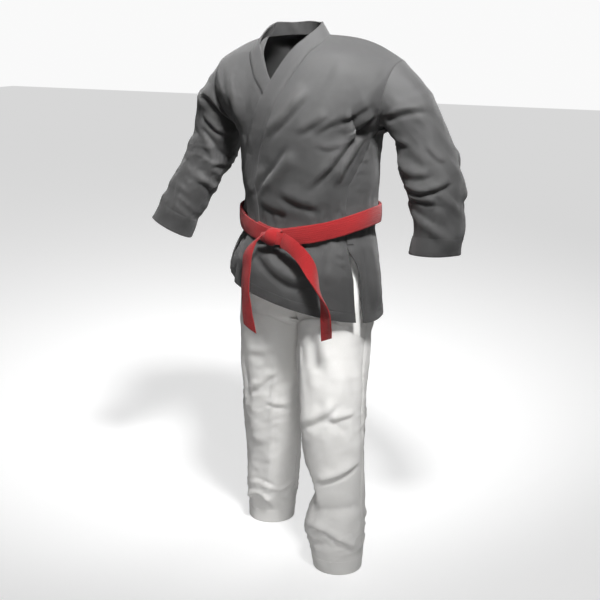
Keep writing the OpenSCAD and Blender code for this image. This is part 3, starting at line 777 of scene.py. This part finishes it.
def jacket_shell(name, z, degrees, lift, node, thickness=CLOTH, seams=(True, True)):
    """A piece of the jacket's body over rows of heights z and, in each row, directions."""
    zz = np.broadcast_to(z[:, None], degrees.shape)
    off = lift(zz, degrees)
    base = jacket_point(zz, degrees, off)
    out = outward(lambda o: jacket_point(zz, degrees, off + o))
    n = normals(base, out)
    drape = jacket_drape(base, n, zz, degrees)
    along = np.concatenate([np.zeros((len(z), 1)), np.linalg.norm(np.diff(base, axis=1), axis=-1).cumsum(1)], 1)
    sewn = [d for d, seam in zip((along, along[:, -1:] - along), seams) if seam]
    dip = 0 * drape + sum(seam_dip(d) for d in sewn)
    pucker = np.sin(zz / 2.4 + ripple(base, 40, 9)) * 0.35 * sum(np.exp(-((d / 9) ** 2)) for d in sewn)
    p = base + n * (drape - SEAM_DEPTH * dip + pucker)[..., None]
    # Painted shade darkens the fold valleys; fold ridges and sewn seams are lightened as wear.
    piece(name, p, out, thickness, jacket_cloth, "jacket_cloth", node,
          fade=np.clip(0.5 + drape / 14, 0, 1) + 0.2 * dip, grain=sum(map(ord, name)) % 7)
    return p, normals(p, out)


def rows_of(z0, z1, count):
    return mix(z0, z1, stations(count, 0.008))


def columns(a, b, count, z):
    """Directions from a(z) to b(z), closer together at both edges."""
    return mix(a(z)[:, None], b(z)[:, None], stations(count, 0.014)[None])


def fore(z):
    return look(z, SIDE_SEAM)


def rear(z):
    return look(z, BACK_SEAM)


def vent(z):
    return VENT_OPEN * ease((VENT_Z - z) / 70)


def back_lift(z, degrees):
    return belt_fill(z, degrees, 0)


def left_front_lift(z, degrees):
    lift = left_lift(z, degrees)
    return lift + belt_fill(z, degrees, lift)


def right_front_lift(z, degrees):
    """The right front stays under the left one at the belt."""
    return belt_fill(z, degrees, FRONT_LAYER * ease((150 - degrees) / 12))


def mirrored(word, degrees):
    """The same direction on the wearer's right."""
    return degrees if word == "left" else 180 - degrees


seam_lines = []
panel_rows = rows_of(PANEL_Z, SHOULDER_Z, 118)
full = columns(rear, lambda z: -180 - rear(z), 84, panel_rows)
p, n = jacket_shell("back_panel_cloth", panel_rows, full, back_lift, "back_panel")
seam_lines += stitched(p, n, STITCH_LIFT, columns=SEAM_COLUMNS) + stitched(p, n, 1.5, rows=(3,))

fronts = (("left", LEFT_EDGE, left_front_lift), ("right", RIGHT_EDGE, right_front_lift))
for word, edge, lift in fronts:
    cols = columns(lambda z: mirrored(word, fore(z)), lambda z: look(z, edge), 62, panel_rows)
    p, n = jacket_shell(f"{word}_front_cloth", panel_rows, cols, lift, f"{word}_front_panel",
                        seams=(True, False))
    seam_lines += stitched(p, n, STITCH_LIFT, columns=(3,))

side_rows = rows_of(PANEL_Z, ARMPIT_Z, 78)
for word in ("left", "right"):
    cols = mirrored(word, columns(rear, lambda z: fore(z) - vent(z), 20, side_rows))
    p, n = jacket_shell(f"{word}_side_cloth", side_rows, cols, back_lift, f"{word}_side_panel")
    seam_lines += stitched(p, n, STITCH_LIFT, columns=SEAM_COLUMNS)

# Hems: turned twice and stitched along their upper edge
hem_rows = mix(HEM_Z, PANEL_Z, np.array([0, 0.08, 0.25, 0.5, 0.75, 0.92, 1]))
back_cols = mix(30 - VENT_OPEN, -210 + VENT_OPEN, stations(120))[None] + 0 * hem_rows[:, None]
hems = [("back", back_cols, back_lift)]
for word, edge, lift in fronts:
    cols = columns(lambda z: mirrored(word, fore(z)), lambda z: look(z, edge), 62, hem_rows)
    hems.append((f"{word}_front", cols, lift))
for word, cols, lift in hems:
    p, n = jacket_shell(f"{word}_hem_cloth", hem_rows, cols, lift, f"{word}_hem", HEM_T, (False, False))
    seam_lines += stitched(p, n, HEM_STITCH_LIFT, rows=(5,))

# Lapel bands run down the fronts and rise into the standing band round the neck
def neck_ring(degrees, v, off=0.0):
    """A point of the standing band, from its seam at v = 0 to its top edge at v = 1."""
    a = np.radians(degrees)
    x = NECK[0] + (NECK_R[0] - NECK_LEAN[0] * v + off) * np.cos(a)
    y = NECK[1] + (NECK_R[1] - NECK_LEAN[1] * v + off) * np.sin(a)
    drop = TORSO[-1, 4] * (abs(x) / TORSO[-1, 1]) ** 3.4
    return np.stack(np.broadcast_arrays(x, y, SHOULDER_Z - 1 - drop + (COLLAR_H + 3) * v), -1)


def lapel(word, edge, side, lift):
    """side is +1 for the wearer's left lapel and -1 for the right one."""
    zz, uu = np.meshgrid(rows_of(HEM_Z, SHOULDER_Z, 128), stations(13, 0.05), indexing="ij")
    e = look(zz, edge)
    band = LAPEL_W / (smooth_row(zz, TORSO)[..., 1] * 0.95) * 180 / math.pi
    at = e - side * band * (1 - uu)
    puff = 1.3 * np.sqrt(np.clip(1 - (2 * uu - 1) ** 2, 0, 1))
    base = jacket_point(zz, at, lift(zz, e) + LAPEL_LIFT * mix(0.35, 1, ease(uu / 0.2)) + puff)
    out = outward(lambda o: jacket_point(zz, at, 11 + o))
    n = normals(base, out)
    drape = jacket_drape(base, n, zz, at)
    p = base + n * drape[..., None]
    join = neck_ring(90 - side * (90 - NECK_FROM) + 0 * uu, uu)
    stand = p[:, :1] + (join - join[:, :1])
    rise = ease((zz - STAND_FROM_Z) / (SHOULDER_Z - STAND_FROM_Z))[..., None]
    home = ease((zz - JOIN_FROM_Z) / (SHOULDER_Z - JOIN_FROM_Z))[..., None]
    p = mix(mix(p, stand, rise), join, home)
    out = mix(out, unit(np.array([side * 0.9, -0.3, 0.3])), rise)
    # Painted shade darkens the lapel's fold valleys; its fold ridges are lightened as wear.
    piece(f"{word}_lapel_cloth", p, out, LAPEL_T, lapel_cloth, "jacket_cloth", f"{word}_lapel",
          fade=np.clip(0.45 + drape / 14, 0, 1), grain=3.3)
    return stitched(p, normals(p, out), LAPEL_T / 2 + 0.1, columns=BAND_LINES)


for (word, edge, lift), side in zip(fronts, (1, -1)):
    seam_lines += lapel(word, edge, side, lift)

turn, height = np.meshgrid(np.linspace(NECK_FROM, 180 - NECK_FROM, 60), stations(11, 0.06))
band_p = neck_ring(turn, height)
band_p[..., 2] += 1.2 * np.sin(np.radians(turn) * 5 + 1) * height
band_out = outward(lambda o: neck_ring(turn, height, o))
band_p = band_p + band_out * (ripple(band_p, 60, 12) * 0.8)[..., None]
piece("neck_band_cloth", band_p, band_out, 4, lapel_cloth, "jacket_cloth", "neck_band", grain=5)
for face in (band_out, -band_out):
    seam_lines += stitched(band_p, face, 2.1, rows=BAND_LINES)
stitches("jacket_stitching", seam_lines, charcoal_thread)

# Vent patches: small folded squares over the tops of the vents
for word in ("left", "right"):
    zz, uu = np.meshgrid(mix(VENT_Z, VENT_Z + VENT_PATCH_H, stations(8, 0.06)), stations(7, 0.08), indexing="ij")
    at = mirrored(word, fore(zz) - mix(7, 0.6, uu))
    base = body_point(zz, at, belt_fill(zz, at, 0) + CLOTH / 2 + 2.2)
    out = outward(lambda o: body_point(zz, at, o))
    p = base + out * jacket_drape(base, out, zz, at)[..., None]
    piece(f"{word}_vent_patch_cloth", p, out, 1.8, lapel_cloth, "jacket_tape", f"{word}_vent_patch", "laid",
          grain=1)


# Sleeves
def sleeve_pieces(word, path, side, folds, slant):
    """A sleeve that turns down from the armhole, and its cuff, whose edge slants by slant mm either way."""
    body = f"{word}_sleeve"
    place = lambda order, degrees, off=0.0: sleeve_ring(path, order, degrees, off, side)
    for node, orders, thick in (
            ("sleeve", np.concatenate([[0, 0.02, 0.05], np.linspace(0.1, CUFF_FROM, 92)]), CLOTH),
            ("cuff", mix(CUFF_FROM, 6, np.array([0, 0.06, 0.3, 0.6, 0.9, 0.97, 1])), HEM_T)):
        oo, aa = np.meshgrid(orders, ROUND, indexing="ij")
        base = place(oo, aa)
        out = outward(lambda o: place(oo, aa, o))
        n = normals(base, out, True)
        drape = fold_field(base, n, folds, place)
        inner = 0.5 - 0.5 * np.sin(np.radians(aa))
        drape = drape + ripple(base * np.array([1, 1, 1.3]), 95, 21) * 2.4 * ease(oo / 0.8)
        drape = drape + ripple(base, 38, 22) * 0.7 * ease(oo / 0.8)
        elbow = np.exp(-(((oo - 3.3) / 0.8) ** 2)) * inner
        drape = drape + creases(base * np.array([0.7, 0.7, 1.5]), 62, 23) * 4.0 * elbow
        seam = np.exp(-((oo * 70 / 3.2) ** 2))
        pucker = np.sin(np.radians(aa) * 46) * 0.4 * np.exp(-((oo * 70 / 9) ** 2))
        p = base + n * (drape * ease(oo / 0.35) - 0.8 * seam + pucker)[..., None]
        p[..., 2] -= slant * np.cos(np.radians(aa + 40)) * ease((oo - 4.2) / 1.8)
        # Painted shade darkens the sleeve's fold valleys; its fold ridges are lightened as wear.
        obj = piece(f"{word}_{node}_cloth", p, out, thick, jacket_cloth, "jacket_cloth", f"{word}_{node}",
                    body=body if node == "cuff" else None, closed=True, fade=np.clip(0.45 + drape / 14, 0, 1),
                    grain=2.2)
        if node == "sleeve":
            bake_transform(obj)
    lines = stitched(p, normals(p, out, True), 2.0, rows=(1, 4))
    stitches(f"{word}_cuff_stitching", lines, charcoal_thread, body)


sleeve_pieces("left", LEFT_SLEEVE, 1, LEFT_SLEEVE_FOLDS, 12)
sleeve_pieces("right", RIGHT_SLEEVE, -1, RIGHT_SLEEVE_FOLDS, 0)


# Trousers
def leg_drape(p, n, z, degrees, folds, place, seed):
    moved = fold_field(p, n, folds, place)
    moved = moved + ripple(p * np.array([1.2, 1.2, 0.55]), 110, seed) * 2.2
    moved = moved + ripple(p, 42, seed + 1) * 0.7
    behind = 0.5 - 0.5 * np.sin(np.radians(degrees))
    knee = np.exp(-(((z - 395) / 70) ** 2)) * mix(0.35, 1, behind)
    ankle = np.exp(-(((z - 95) / 60) ** 2)) * 0.8
    moved = moved + creases(p * np.array([0.7, 0.7, 1.6]), 70, seed + 2) * 4.5 * (knee + ankle)
    return moved * ease((z + 12) / 50)


def bend_at_hip(obj):
    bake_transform(obj)


def leg_pieces(word, path, side, folds, seed):
    body = f"{word}_leg"
    place = lambda z, degrees, off=0.0: leg_point(path, z, degrees, off, side)
    lines = []
    for part, a0, a1 in (("front", 0, 180), ("back", 180, 360)):
        u, v = stations(44, 0.012), stations(104, 0.006)
        aa = mix(a0, a1, u)[None] + 0 * v[:, None]
        high = on_hip(lambda z: leg_point(path, z, mix(a0, a1, u), 0.0, 1), 0 * u)
        zz = mix(LEG_HEM_W, high[None], v[:, None])
        base = place(zz, aa)
        out = outward(lambda o: place(zz, aa, o))
        n = normals(base, out)
        drape = leg_drape(base, n, zz, aa, folds, place, seed)
        top = ease((high[None] - zz) / 40)
        across = arc_lengths(base, 1)[:, None]
        dip = seam_dip(u * across) + seam_dip((1 - u) * across)
        p = base + n * (drape * mix(0.4, 1, top) - LEG_SEAM_DEPTH * dip)[..., None]
        # Painted shade darkens the leg's fold valleys; its fold ridges are lightened as wear.
        obj = piece(f"{word}_leg_{part}_cloth", p, out, CLOTH, trouser_cloth, "trouser_cloth",
                    f"{word}_leg_{part}", body=None, fade=np.clip(0.55 + drape / 16, 0, 1), grain=seed)
        bend_at_hip(obj)
        keep = zz[:, 3] < LEG_STITCH_TOP_Z
        lines += stitched(p[keep], normals(p, out)[keep], 1.4, columns=SEAM_COLUMNS)
    zz, aa = np.meshgrid(LEG_HEM_W * np.array([0, 0.05, 0.25, 0.5, 0.75, 0.93, 1]), ROUND, indexing="ij")
    base = place(zz, aa)
    out = outward(lambda o: place(zz, aa, o))
    n = normals(base, out, True)
    p = base + n * leg_drape(base, n, zz, aa, folds, place, seed)[..., None]
    piece(f"{word}_leg_hem_cloth", p, out, HEM_T, trouser_cloth, "trouser_cloth", f"{word}_leg_hem", body=body,
          closed=True, grain=seed + 1)
    lines += stitched(p, normals(p, out, True), HEM_STITCH_LIFT, rows=(1, 5))
    stitches(f"{word}_leg_stitching", lines, white_thread, body)


leg_pieces("left", LEFT_LEG, 1, LEFT_LEG_FOLDS, 31)
leg_pieces("right", RIGHT_LEG, -1, RIGHT_LEG_FOLDS, 41)


def seat_piece(word, a0, a1, path, side, leg0, leg1):
    """A quarter of the seat: its lower edge is the leg's upper edge, so it turns in under the crotch."""
    u, v = stations(40, 0.015), np.concatenate([np.linspace(0, 0.2, 16)[:-1], np.linspace(0.2, 1, 34)])
    leg_turn = mix(leg0, leg1, u)
    top = on_hip(lambda z: leg_point(path, z, leg_turn, 0.0, side), 0 * u)
    leg_top = leg_point(path, top, leg_turn, 0.0, side)
    middle = u if abs(leg1) > 90 else 1 - u
    leg_top[:, 0] *= 1 - ease((middle - 0.85) / 0.15)
    low = on_hip(lambda z: seat_point(z, mix(a0, a1, u)), 0 * u)
    reach = leg_top - seat_point(low, mix(a0, a1, u))
    aa = mix(a0, a1, u)[None] + 0 * v[:, None]
    zz = low[None] + (WAIST_Z - low[None]) * v[:, None]
    turn_in = np.clip(1 - v / 0.22, 0, 1) ** 2
    base = seat_point(zz, aa) + turn_in[:, None, None] * reach[None]
    out = outward(lambda o: seat_point(zz, aa, o))
    n = normals(base, out)
    drape = fold_field(base, n, SEAT_FOLDS, seat_point)
    drape = (drape + ripple(base, 90, 51) * 1.4) * ease((WAIST_Z - zz) / 80) * ease(v / 0.06)[:, None]
    gather = np.sin(np.radians(aa) * 46 + 2 * np.sin(np.radians(aa) * 9)) * 1.3 * ease((zz - WAIST_Z + 90) / 90)
    edge = np.minimum(u, 1 - u) * arc_lengths(base, 1)[:, None]
    p = base + n * (drape + gather - LEG_SEAM_DEPTH * seam_dip(edge))[..., None]
    # Painted shade darkens the seat's fold valleys; its fold ridges are lightened as wear.
    obj = piece(f"{word}_cloth", p, out, CLOTH, trouser_cloth, "trouser_cloth", word, body=None,
                fade=np.clip(0.5 + drape / 16, 0, 1), grain=6)
    bend_at_hip(obj)


seat_piece("left_seat_front", 0, 90, LEFT_LEG, 1, 0, 180)
seat_piece("right_seat_front", 90, 180, RIGHT_LEG, -1, 180, 0)
seat_piece("left_seat_back", -90, 0, LEFT_LEG, 1, -180, 0)
seat_piece("right_seat_back", 180, 270, RIGHT_LEG, -1, 0, -180)


def waist_ring(name, node, heights, off, thickness, material, slot, **shade):
    """A band round the waist; off(angle) is how far its middle layer stands off the seat's surface."""
    zz, aa = np.meshgrid(heights, ROUND_FINE, indexing="ij")
    out = outward(lambda o: seat_point(zz, aa, o))
    piece(name, seat_point(zz, aa, off(np.radians(aa))), out, thickness, material, slot, node, "gathered",
          closed=True, **shade)


def waist_gather(a):
    return np.sin(a * 52 + 1.6 * np.sin(a * 11)) * 1.1


# Painted shade darkens the hollows between the gathers; their ridges are lightened as wear.
waist_ring("waistband_cloth", "trouser_waistband", WAIST_Z + WAISTBAND_H * stations(13, 0.05), waist_gather, 5.4,
           trouser_cloth, "trouser_cloth", fade=0.5 + waist_gather(np.radians(ROUND_FINE)) / 6, grain=2)
waist_ring("waist_elastic_band", "waist_elastic", WAIST_Z + 9 + 22 * stations(9, 0.05),
           lambda a: 0.35 * np.sin(a * 90) - 5, 1.6, elastic_cloth, "elastic", grain=4)

vv, uu = np.meshgrid(stations(60, 0.01), stations(16, 0.03), indexing="ij")
arc = np.radians(mix(-36, 47, vv))
half_w = 34 * (1 - abs(2 * vv - 1) ** 2 * 0.6)
gusset_p = np.stack([half_w * (2 * uu - 1), HIP_Y + GUSSET_R * np.sin(arc), HIP_Z - GUSSET_R * np.cos(arc)], -1)
gusset_out = np.stack([0 * arc, np.sin(arc), -np.cos(arc)], -1)
gusset_p = gusset_p + gusset_out * (ripple(gusset_p, 60, 61) * 1.2)[..., None]
piece("crotch_gusset_cloth", gusset_p, gusset_out, CLOTH, trouser_cloth, "trouser_cloth", "crotch_gusset", grain=8)


# Belt
def wrap_points(v, degrees, lift, tilt):
    """v runs up the belt's width; the edges curl in a little and the turn sags unevenly."""
    a = np.radians(degrees)
    s = smooth_row(np.array(float(BELT_Z)), TORSO)
    off = lift + 0.9 * np.sin(3 * a + tilt) * 0.6 - 1.4 * (2 * v - 1) ** 2
    pull = np.exp(-(((degrees - 97) / 16) ** 2))
    half = (BELT_W - 9 * pull) * (v - 0.5)
    z = belt_line(degrees) + half + tilt * np.sin(a * 2 + 1) - 4 * pull
    return np.stack([(s[1] + off) * np.cos(a), s[3] - (s[2] + off) * np.sin(a), z], -1)


for name, node, lift, tilt in (("belt_inner_turn", "belt_inner_wrap", INNER_WRAP, -1.6),
                               ("belt_outer_turn", "belt_outer_wrap", OUTER_WRAP, 1.4)):
    vv, aa = np.meshgrid(stations(17, 0.05), ROUND_FINE, indexing="ij")
    base = wrap_points(vv, aa, lift, tilt)
    out = outward(lambda o: wrap_points(vv, aa, lift + o, tilt))
    base = base + out * (ripple(base, 60, 71) * 0.7)[..., None]
    piece(name, base, out, BELT_T, belt_cloth, "belt_cloth", node, "stretched", closed=True, grain=1.5)


def ribbon(name, line, across, out, width, curl, node, held, body=ROOT, thick=BELT_T, slant=0.0, grain=0.0):
    """A belt ribbon along line; across is how its width lies, as long as its share of the width."""
    u = stations(15, 0.05)
    p = line[:, None] + (width * (u - 0.5))[:, None] * across[:, None]
    p = p + out[:, None] * (curl * (2 * u - 1) ** 2)[:, None]
    p = p + np.broadcast_to(slant, line.shape)[:, None] * (2 * u - 1)[:, None]
    out = np.broadcast_to(out[:, None], p.shape)
    piece(name, p, out, thick, belt_cloth, "belt_cloth", node, held, body, grain=grain)


def tail(word, path, curl, grain):
    s = np.linspace(0, 5, 96)
    row = smooth_row(s, path)
    a = np.radians(row[:, 4])
    across = np.stack([np.cos(a) * row[:, 5], np.sin(a) * row[:, 5], row[:, 6]], -1)
    along = unit(np.gradient(row[:, 1:4], axis=0))
    out = unit(np.cross(along, across))
    out = out * (-1 if out[0, 1] > 0 else 1)
    line = row[:, 1:4] + out * (ripple(row[:, 1:4], 90, 81) * 1.5)[:, None]
    slant = along * (ease((s - 4.4) / 0.6) * 9)[:, None]
    body = f"{word}_belt_tail"
    ribbon(f"{word}_tail_cloth", line, across, out, TAIL_W, curl, body, "hung", body, slant=slant, grain=grain)


tail("right", RIGHT_TAIL, -2.5, 0.7)
tail("left", LEFT_TAIL, -3.0, 0.9)


def knot_loop(name, points, width, widths, out, across, grain, node=None):
    """A part of the knot; its points are about the knot's middle and widths are shares of its width."""
    wide = np.interp(np.linspace(0, 1, 64), np.linspace(0, 1, len(widths)), widths)
    across = unit(smooth_line(across, 64)) * wide[:, None]
    ribbon(name, smooth_line(KNOT + np.array(points), 64), across, unit(smooth_line(out, 64)), width,
           KNOT_CURL, node, "folded", thick=KNOT_T, grain=grain)


knot_loop("knot_band", [(11, 14, 20), (9, -2, 21), (5, -13, 12), (-1, -17, -1), (-7, -12, -14), (-9, 0, -20),
                        (-8, 12, -18)], 33, [0.72, 0.85, 1, 1, 0.92, 0.8, 0.7],
          [(0, 0.3, 1), (0, -0.5, 1), (0.1, -1, 0.7), (0, -1, 0), (-0.1, -1, -0.7), (0, -0.3, -1), (0, 0.3, -1)],
          [(1, 0, -0.2), (1, 0, -0.3), (1, 0.1, -0.45), (1, 0.1, -0.5), (1, 0.1, -0.45), (1, 0, -0.3),
           (1, 0, -0.2)], 0.2, "belt_knot")
knot_loop("knot_roll_left", [(14, -2, 10), (2, -9, 6), (-16, -9, 1), (-27, -5, 0), (-36, 0, 0)],
          38, [0.6, 0.7, 0.72, 0.62, 0.5],
          [(0.3, -1, 0.2), (0, -1, 0.3), (-0.4, -1, 0.2), (-0.7, -1, 0), (-0.5, -1, 0)],
          [(0, 0.2, 1), (0.1, 0.3, 1), (0.1, 0.2, 1), (0.2, 0.2, 1), (0.2, 0, 1)], 0.4)
knot_loop("knot_roll_right", [(-12, -4, -8), (4, -10, -3), (20, -11, 0), (32, -10, -1), (42, -9, -2)],
          40, [0.6, 0.72, 0.8, 0.86, 0.86],
          [(-0.3, -1, -0.2), (0, -1, -0.2), (0.3, -1, 0), (0.3, -1, 0.1), (0.2, -1, 0.1)],
          [(0, 0.2, 1), (-0.2, 0.2, 1), (-0.3, 0.2, 1), (-0.3, 0, 1), (-0.3, 0, 1)], 0.6)


# Ties inside the jacket and the trousers' drawstring
def tie(word, a0, a1, z0, z1):
    """A flat tape inside the jacket, from one direction and height to another."""
    ss, uu = np.meshgrid(np.linspace(0, 1, 26), stations(7, 0.08), indexing="ij")
    at, z = mix(a0, a1, ss), mix(z0, z1, ss) + TIE_W * (uu - 0.5)
    base = body_point(z, at, -TIE_DEPTH + 1.2 * np.sin(ss * 9))
    out = outward(lambda o: body_point(z, at, o))
    piece(f"inner_tie_{word}_tape", base, out, 1.6, tape_cloth, "jacket_tape", f"inner_tie_{word}", grain=2)


tie("right", 60, 51, BELT_Z + 64, BELT_Z + 52)
tie("left", 20, 42, BELT_Z + 62, BELT_Z + 52)


def free_ribbon(name, middle, points, across, width, thick, material, grain, node=None):
    """A narrow tape through points about middle, with a direction across it at each point."""
    line = smooth_line(middle + np.array(points), 48)
    across = unit(smooth_line(across, 48))
    out = unit(np.cross(unit(np.gradient(line, axis=0)), across))
    p = line[:, None] + (width * (stations(7, 0.1) - 0.5))[:, None] * across[:, None]
    obj = shell(name, p, np.broadcast_to(out[:, None], p.shape), thick, material, grain=grain)
    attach(obj, ROOT)
    if node:
        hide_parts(node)


tie_knot = body_point(BELT_Z + 52, 48, -9.5)
bow = seat_point(np.array(WAIST_Z + 20.0), np.array(90.0), 8.5)
free_ribbon("inner_tie_knot_tape", tie_knot, [(3, -3, 7), (-3, -2, 3), (0, 5, -2), (4, -2, -5), (-2, -1, -9)],
            [(0.6, 0.6, 0.4), (0.5, 0.7, -0.3), (0.7, 0.5, 0.4), (0.6, 0.6, -0.4), (0.7, 0.7, 0)], 9, 1.6,
            tape_cloth, 0.1, "inner_tie_knot")
for word, s in (("right", -1), ("left", 1)):
    free_ribbon(f"inner_tie_end_{word}", tie_knot, np.array([(2, 2, -6), (5, 5, -22), (7, 6, -44)]) * [s, s, 1],
                [(0.7, 0.7, 0), (0.8, 0.6, 0), (0.6, 0.8, 0)], 9, 1.4, tape_cloth, 0.3)
free_ribbon("drawstring_knot", bow, [(5, 3, 5), (2, -4, 4), (-1, -5, -2), (-3, 3, -6)],
            [(1, 0, 0), (1, 0, -0.2), (1, 0, -0.2), (1, 0, 0)], 8, 2.4, cord_cloth, 0.1,
            "trouser_drawstring")
for word, s in (("right", -1), ("left", 1)):
    loop = [(2, -1, 1), (10, -2, 9), (21, -1, 6), (22, -1, -4), (12, -2, -7), (2, -1, -1)]
    free_ribbon(f"drawstring_loop_{word}", bow, np.array(loop) * [s, 1, 1],
                [(0, 1, 0.2), (0, 1, 0.1), (0, 1, 0), (0, 1, 0), (0, 1, -0.1), (0, 1, -0.2)], 5, 1.6,
                cord_cloth, 0.3)
    free_ribbon(f"drawstring_end_{word}", bow, np.array([(3, -1, -3), (8, -2, -20), (12, 0, -54)]) * [s, 1, 1],
                [(1, 0, 0.2), (1, 0.2, 0), (1, -0.2, 0)], 7, 1.6, cord_cloth, 0.6)

# Studio: sizes and places from here on are in metres
FLOOR_SPAN = 14
PAPER_GREY = 0.5
PAPER_GLOW = 0.62  # only the camera sees it, so it lights nothing
WORLD_LIT = 0.11
WORLD_SEEN = 0.95
# name, place, what it aims at, power in W, size, spread in degrees
LAMPS = (("key", (1.0, -1.15, 1.5), (0, 0, 0.16), 20.5, 0.4, 54),
         ("legs", (1.3, -2.3, -0.7), (0, 0, -1.25), 2.1, 0.9, 54),
         ("fill", (-2.6, -2.4, 0.2), (0, 0, -0.7), 4, 2.0, 180),
         ("rim", (0.8, 2.6, 1.4), (0, 0, -0.3), 18, 1.6, 180))
# The photo's camera: how far round to the wearer's left, away, above the floor and aside
CAMERA_ROUND = math.radians(28)
CAMERA_AWAY = 2.8
CAMERA_UP = 1.45
CAMERA_ASIDE = -0.029
AIM_UP = 0.69
LENS_MM, SENSOR_MM = 63.9, 36
FLOOR_Z = -MOUNT_Z / 1000


def place_in_scene(name, data, place):
    obj = bpy.data.objects.new(name, data)
    obj.location = place
    bpy.context.scene.collection.objects.link(obj)
    return obj


def aim(obj, target):
    obj.rotation_euler = (Vector(target) - obj.location).to_track_quat("-Z", "Y").to_euler()


floor_mesh = bpy.data.meshes.new("studio_floor")
corners = [(x * FLOOR_SPAN, y * FLOOR_SPAN, 0) for x, y in ((-1, -1), (1, -1), (1, 1), (-1, 1))]
floor_mesh.from_pydata(corners, [], [(0, 1, 2, 3)])
floor = place_in_scene("studio_floor", floor_mesh, (0, 0, FLOOR_Z))
paper = Nodes("studio_paper")
paper.put(paper.shader, "Base Color", (PAPER_GREY, PAPER_GREY, PAPER_GREY, 1))
paper.put(paper.shader, "Roughness", 0.9)
paper.put(paper.shader, "Emission Color", (1, 1, 1, 1))
camera_ray = paper.add("ShaderNodeLightPath").outputs["Is Camera Ray"]
paper.put(paper.shader, "Emission Strength", paper.math("MULTIPLY", camera_ray, PAPER_GLOW))
floor_mesh.materials.append(paper.material)

for name, place, target, power, size, spread in LAMPS:
    data = bpy.data.lights.new(name, "AREA")
    data.energy, data.size, data.spread = power, size, math.radians(spread)
    aim(place_in_scene(name, data, place), target)

world = bpy.data.worlds.new("studio")
world.use_nodes = True
sky = world.node_tree.nodes["Background"]
sky.inputs["Color"].default_value = (1, 1, 1, 1)
seen = world.node_tree.nodes.new("ShaderNodeLightPath")
strength = world.node_tree.nodes.new("ShaderNodeMapRange")
strength.inputs["To Min"].default_value = WORLD_LIT
strength.inputs["To Max"].default_value = WORLD_SEEN
world.node_tree.links.new(seen.outputs["Is Camera Ray"], strength.inputs["Value"])
world.node_tree.links.new(strength.outputs[0], sky.inputs["Strength"])
bpy.context.scene.world = world
bpy.context.scene.view_settings.view_transform = "Standard"

aside = Vector((math.cos(CAMERA_ROUND), math.sin(CAMERA_ROUND), 0)) * CAMERA_ASIDE
away = Vector((math.sin(CAMERA_ROUND), -math.cos(CAMERA_ROUND), 0)) * CAMERA_AWAY
camera_data = bpy.data.cameras.new("photo_camera")
camera_data.sensor_width = SENSOR_MM
camera_data.lens = LENS_MM
camera = place_in_scene("photo_camera", camera_data, away + aside + Vector((0, 0, CAMERA_UP + FLOOR_Z)))
aim(camera, aside + Vector((0, 0, AIM_UP + FLOOR_Z)))
bpy.context.scene.camera = camera
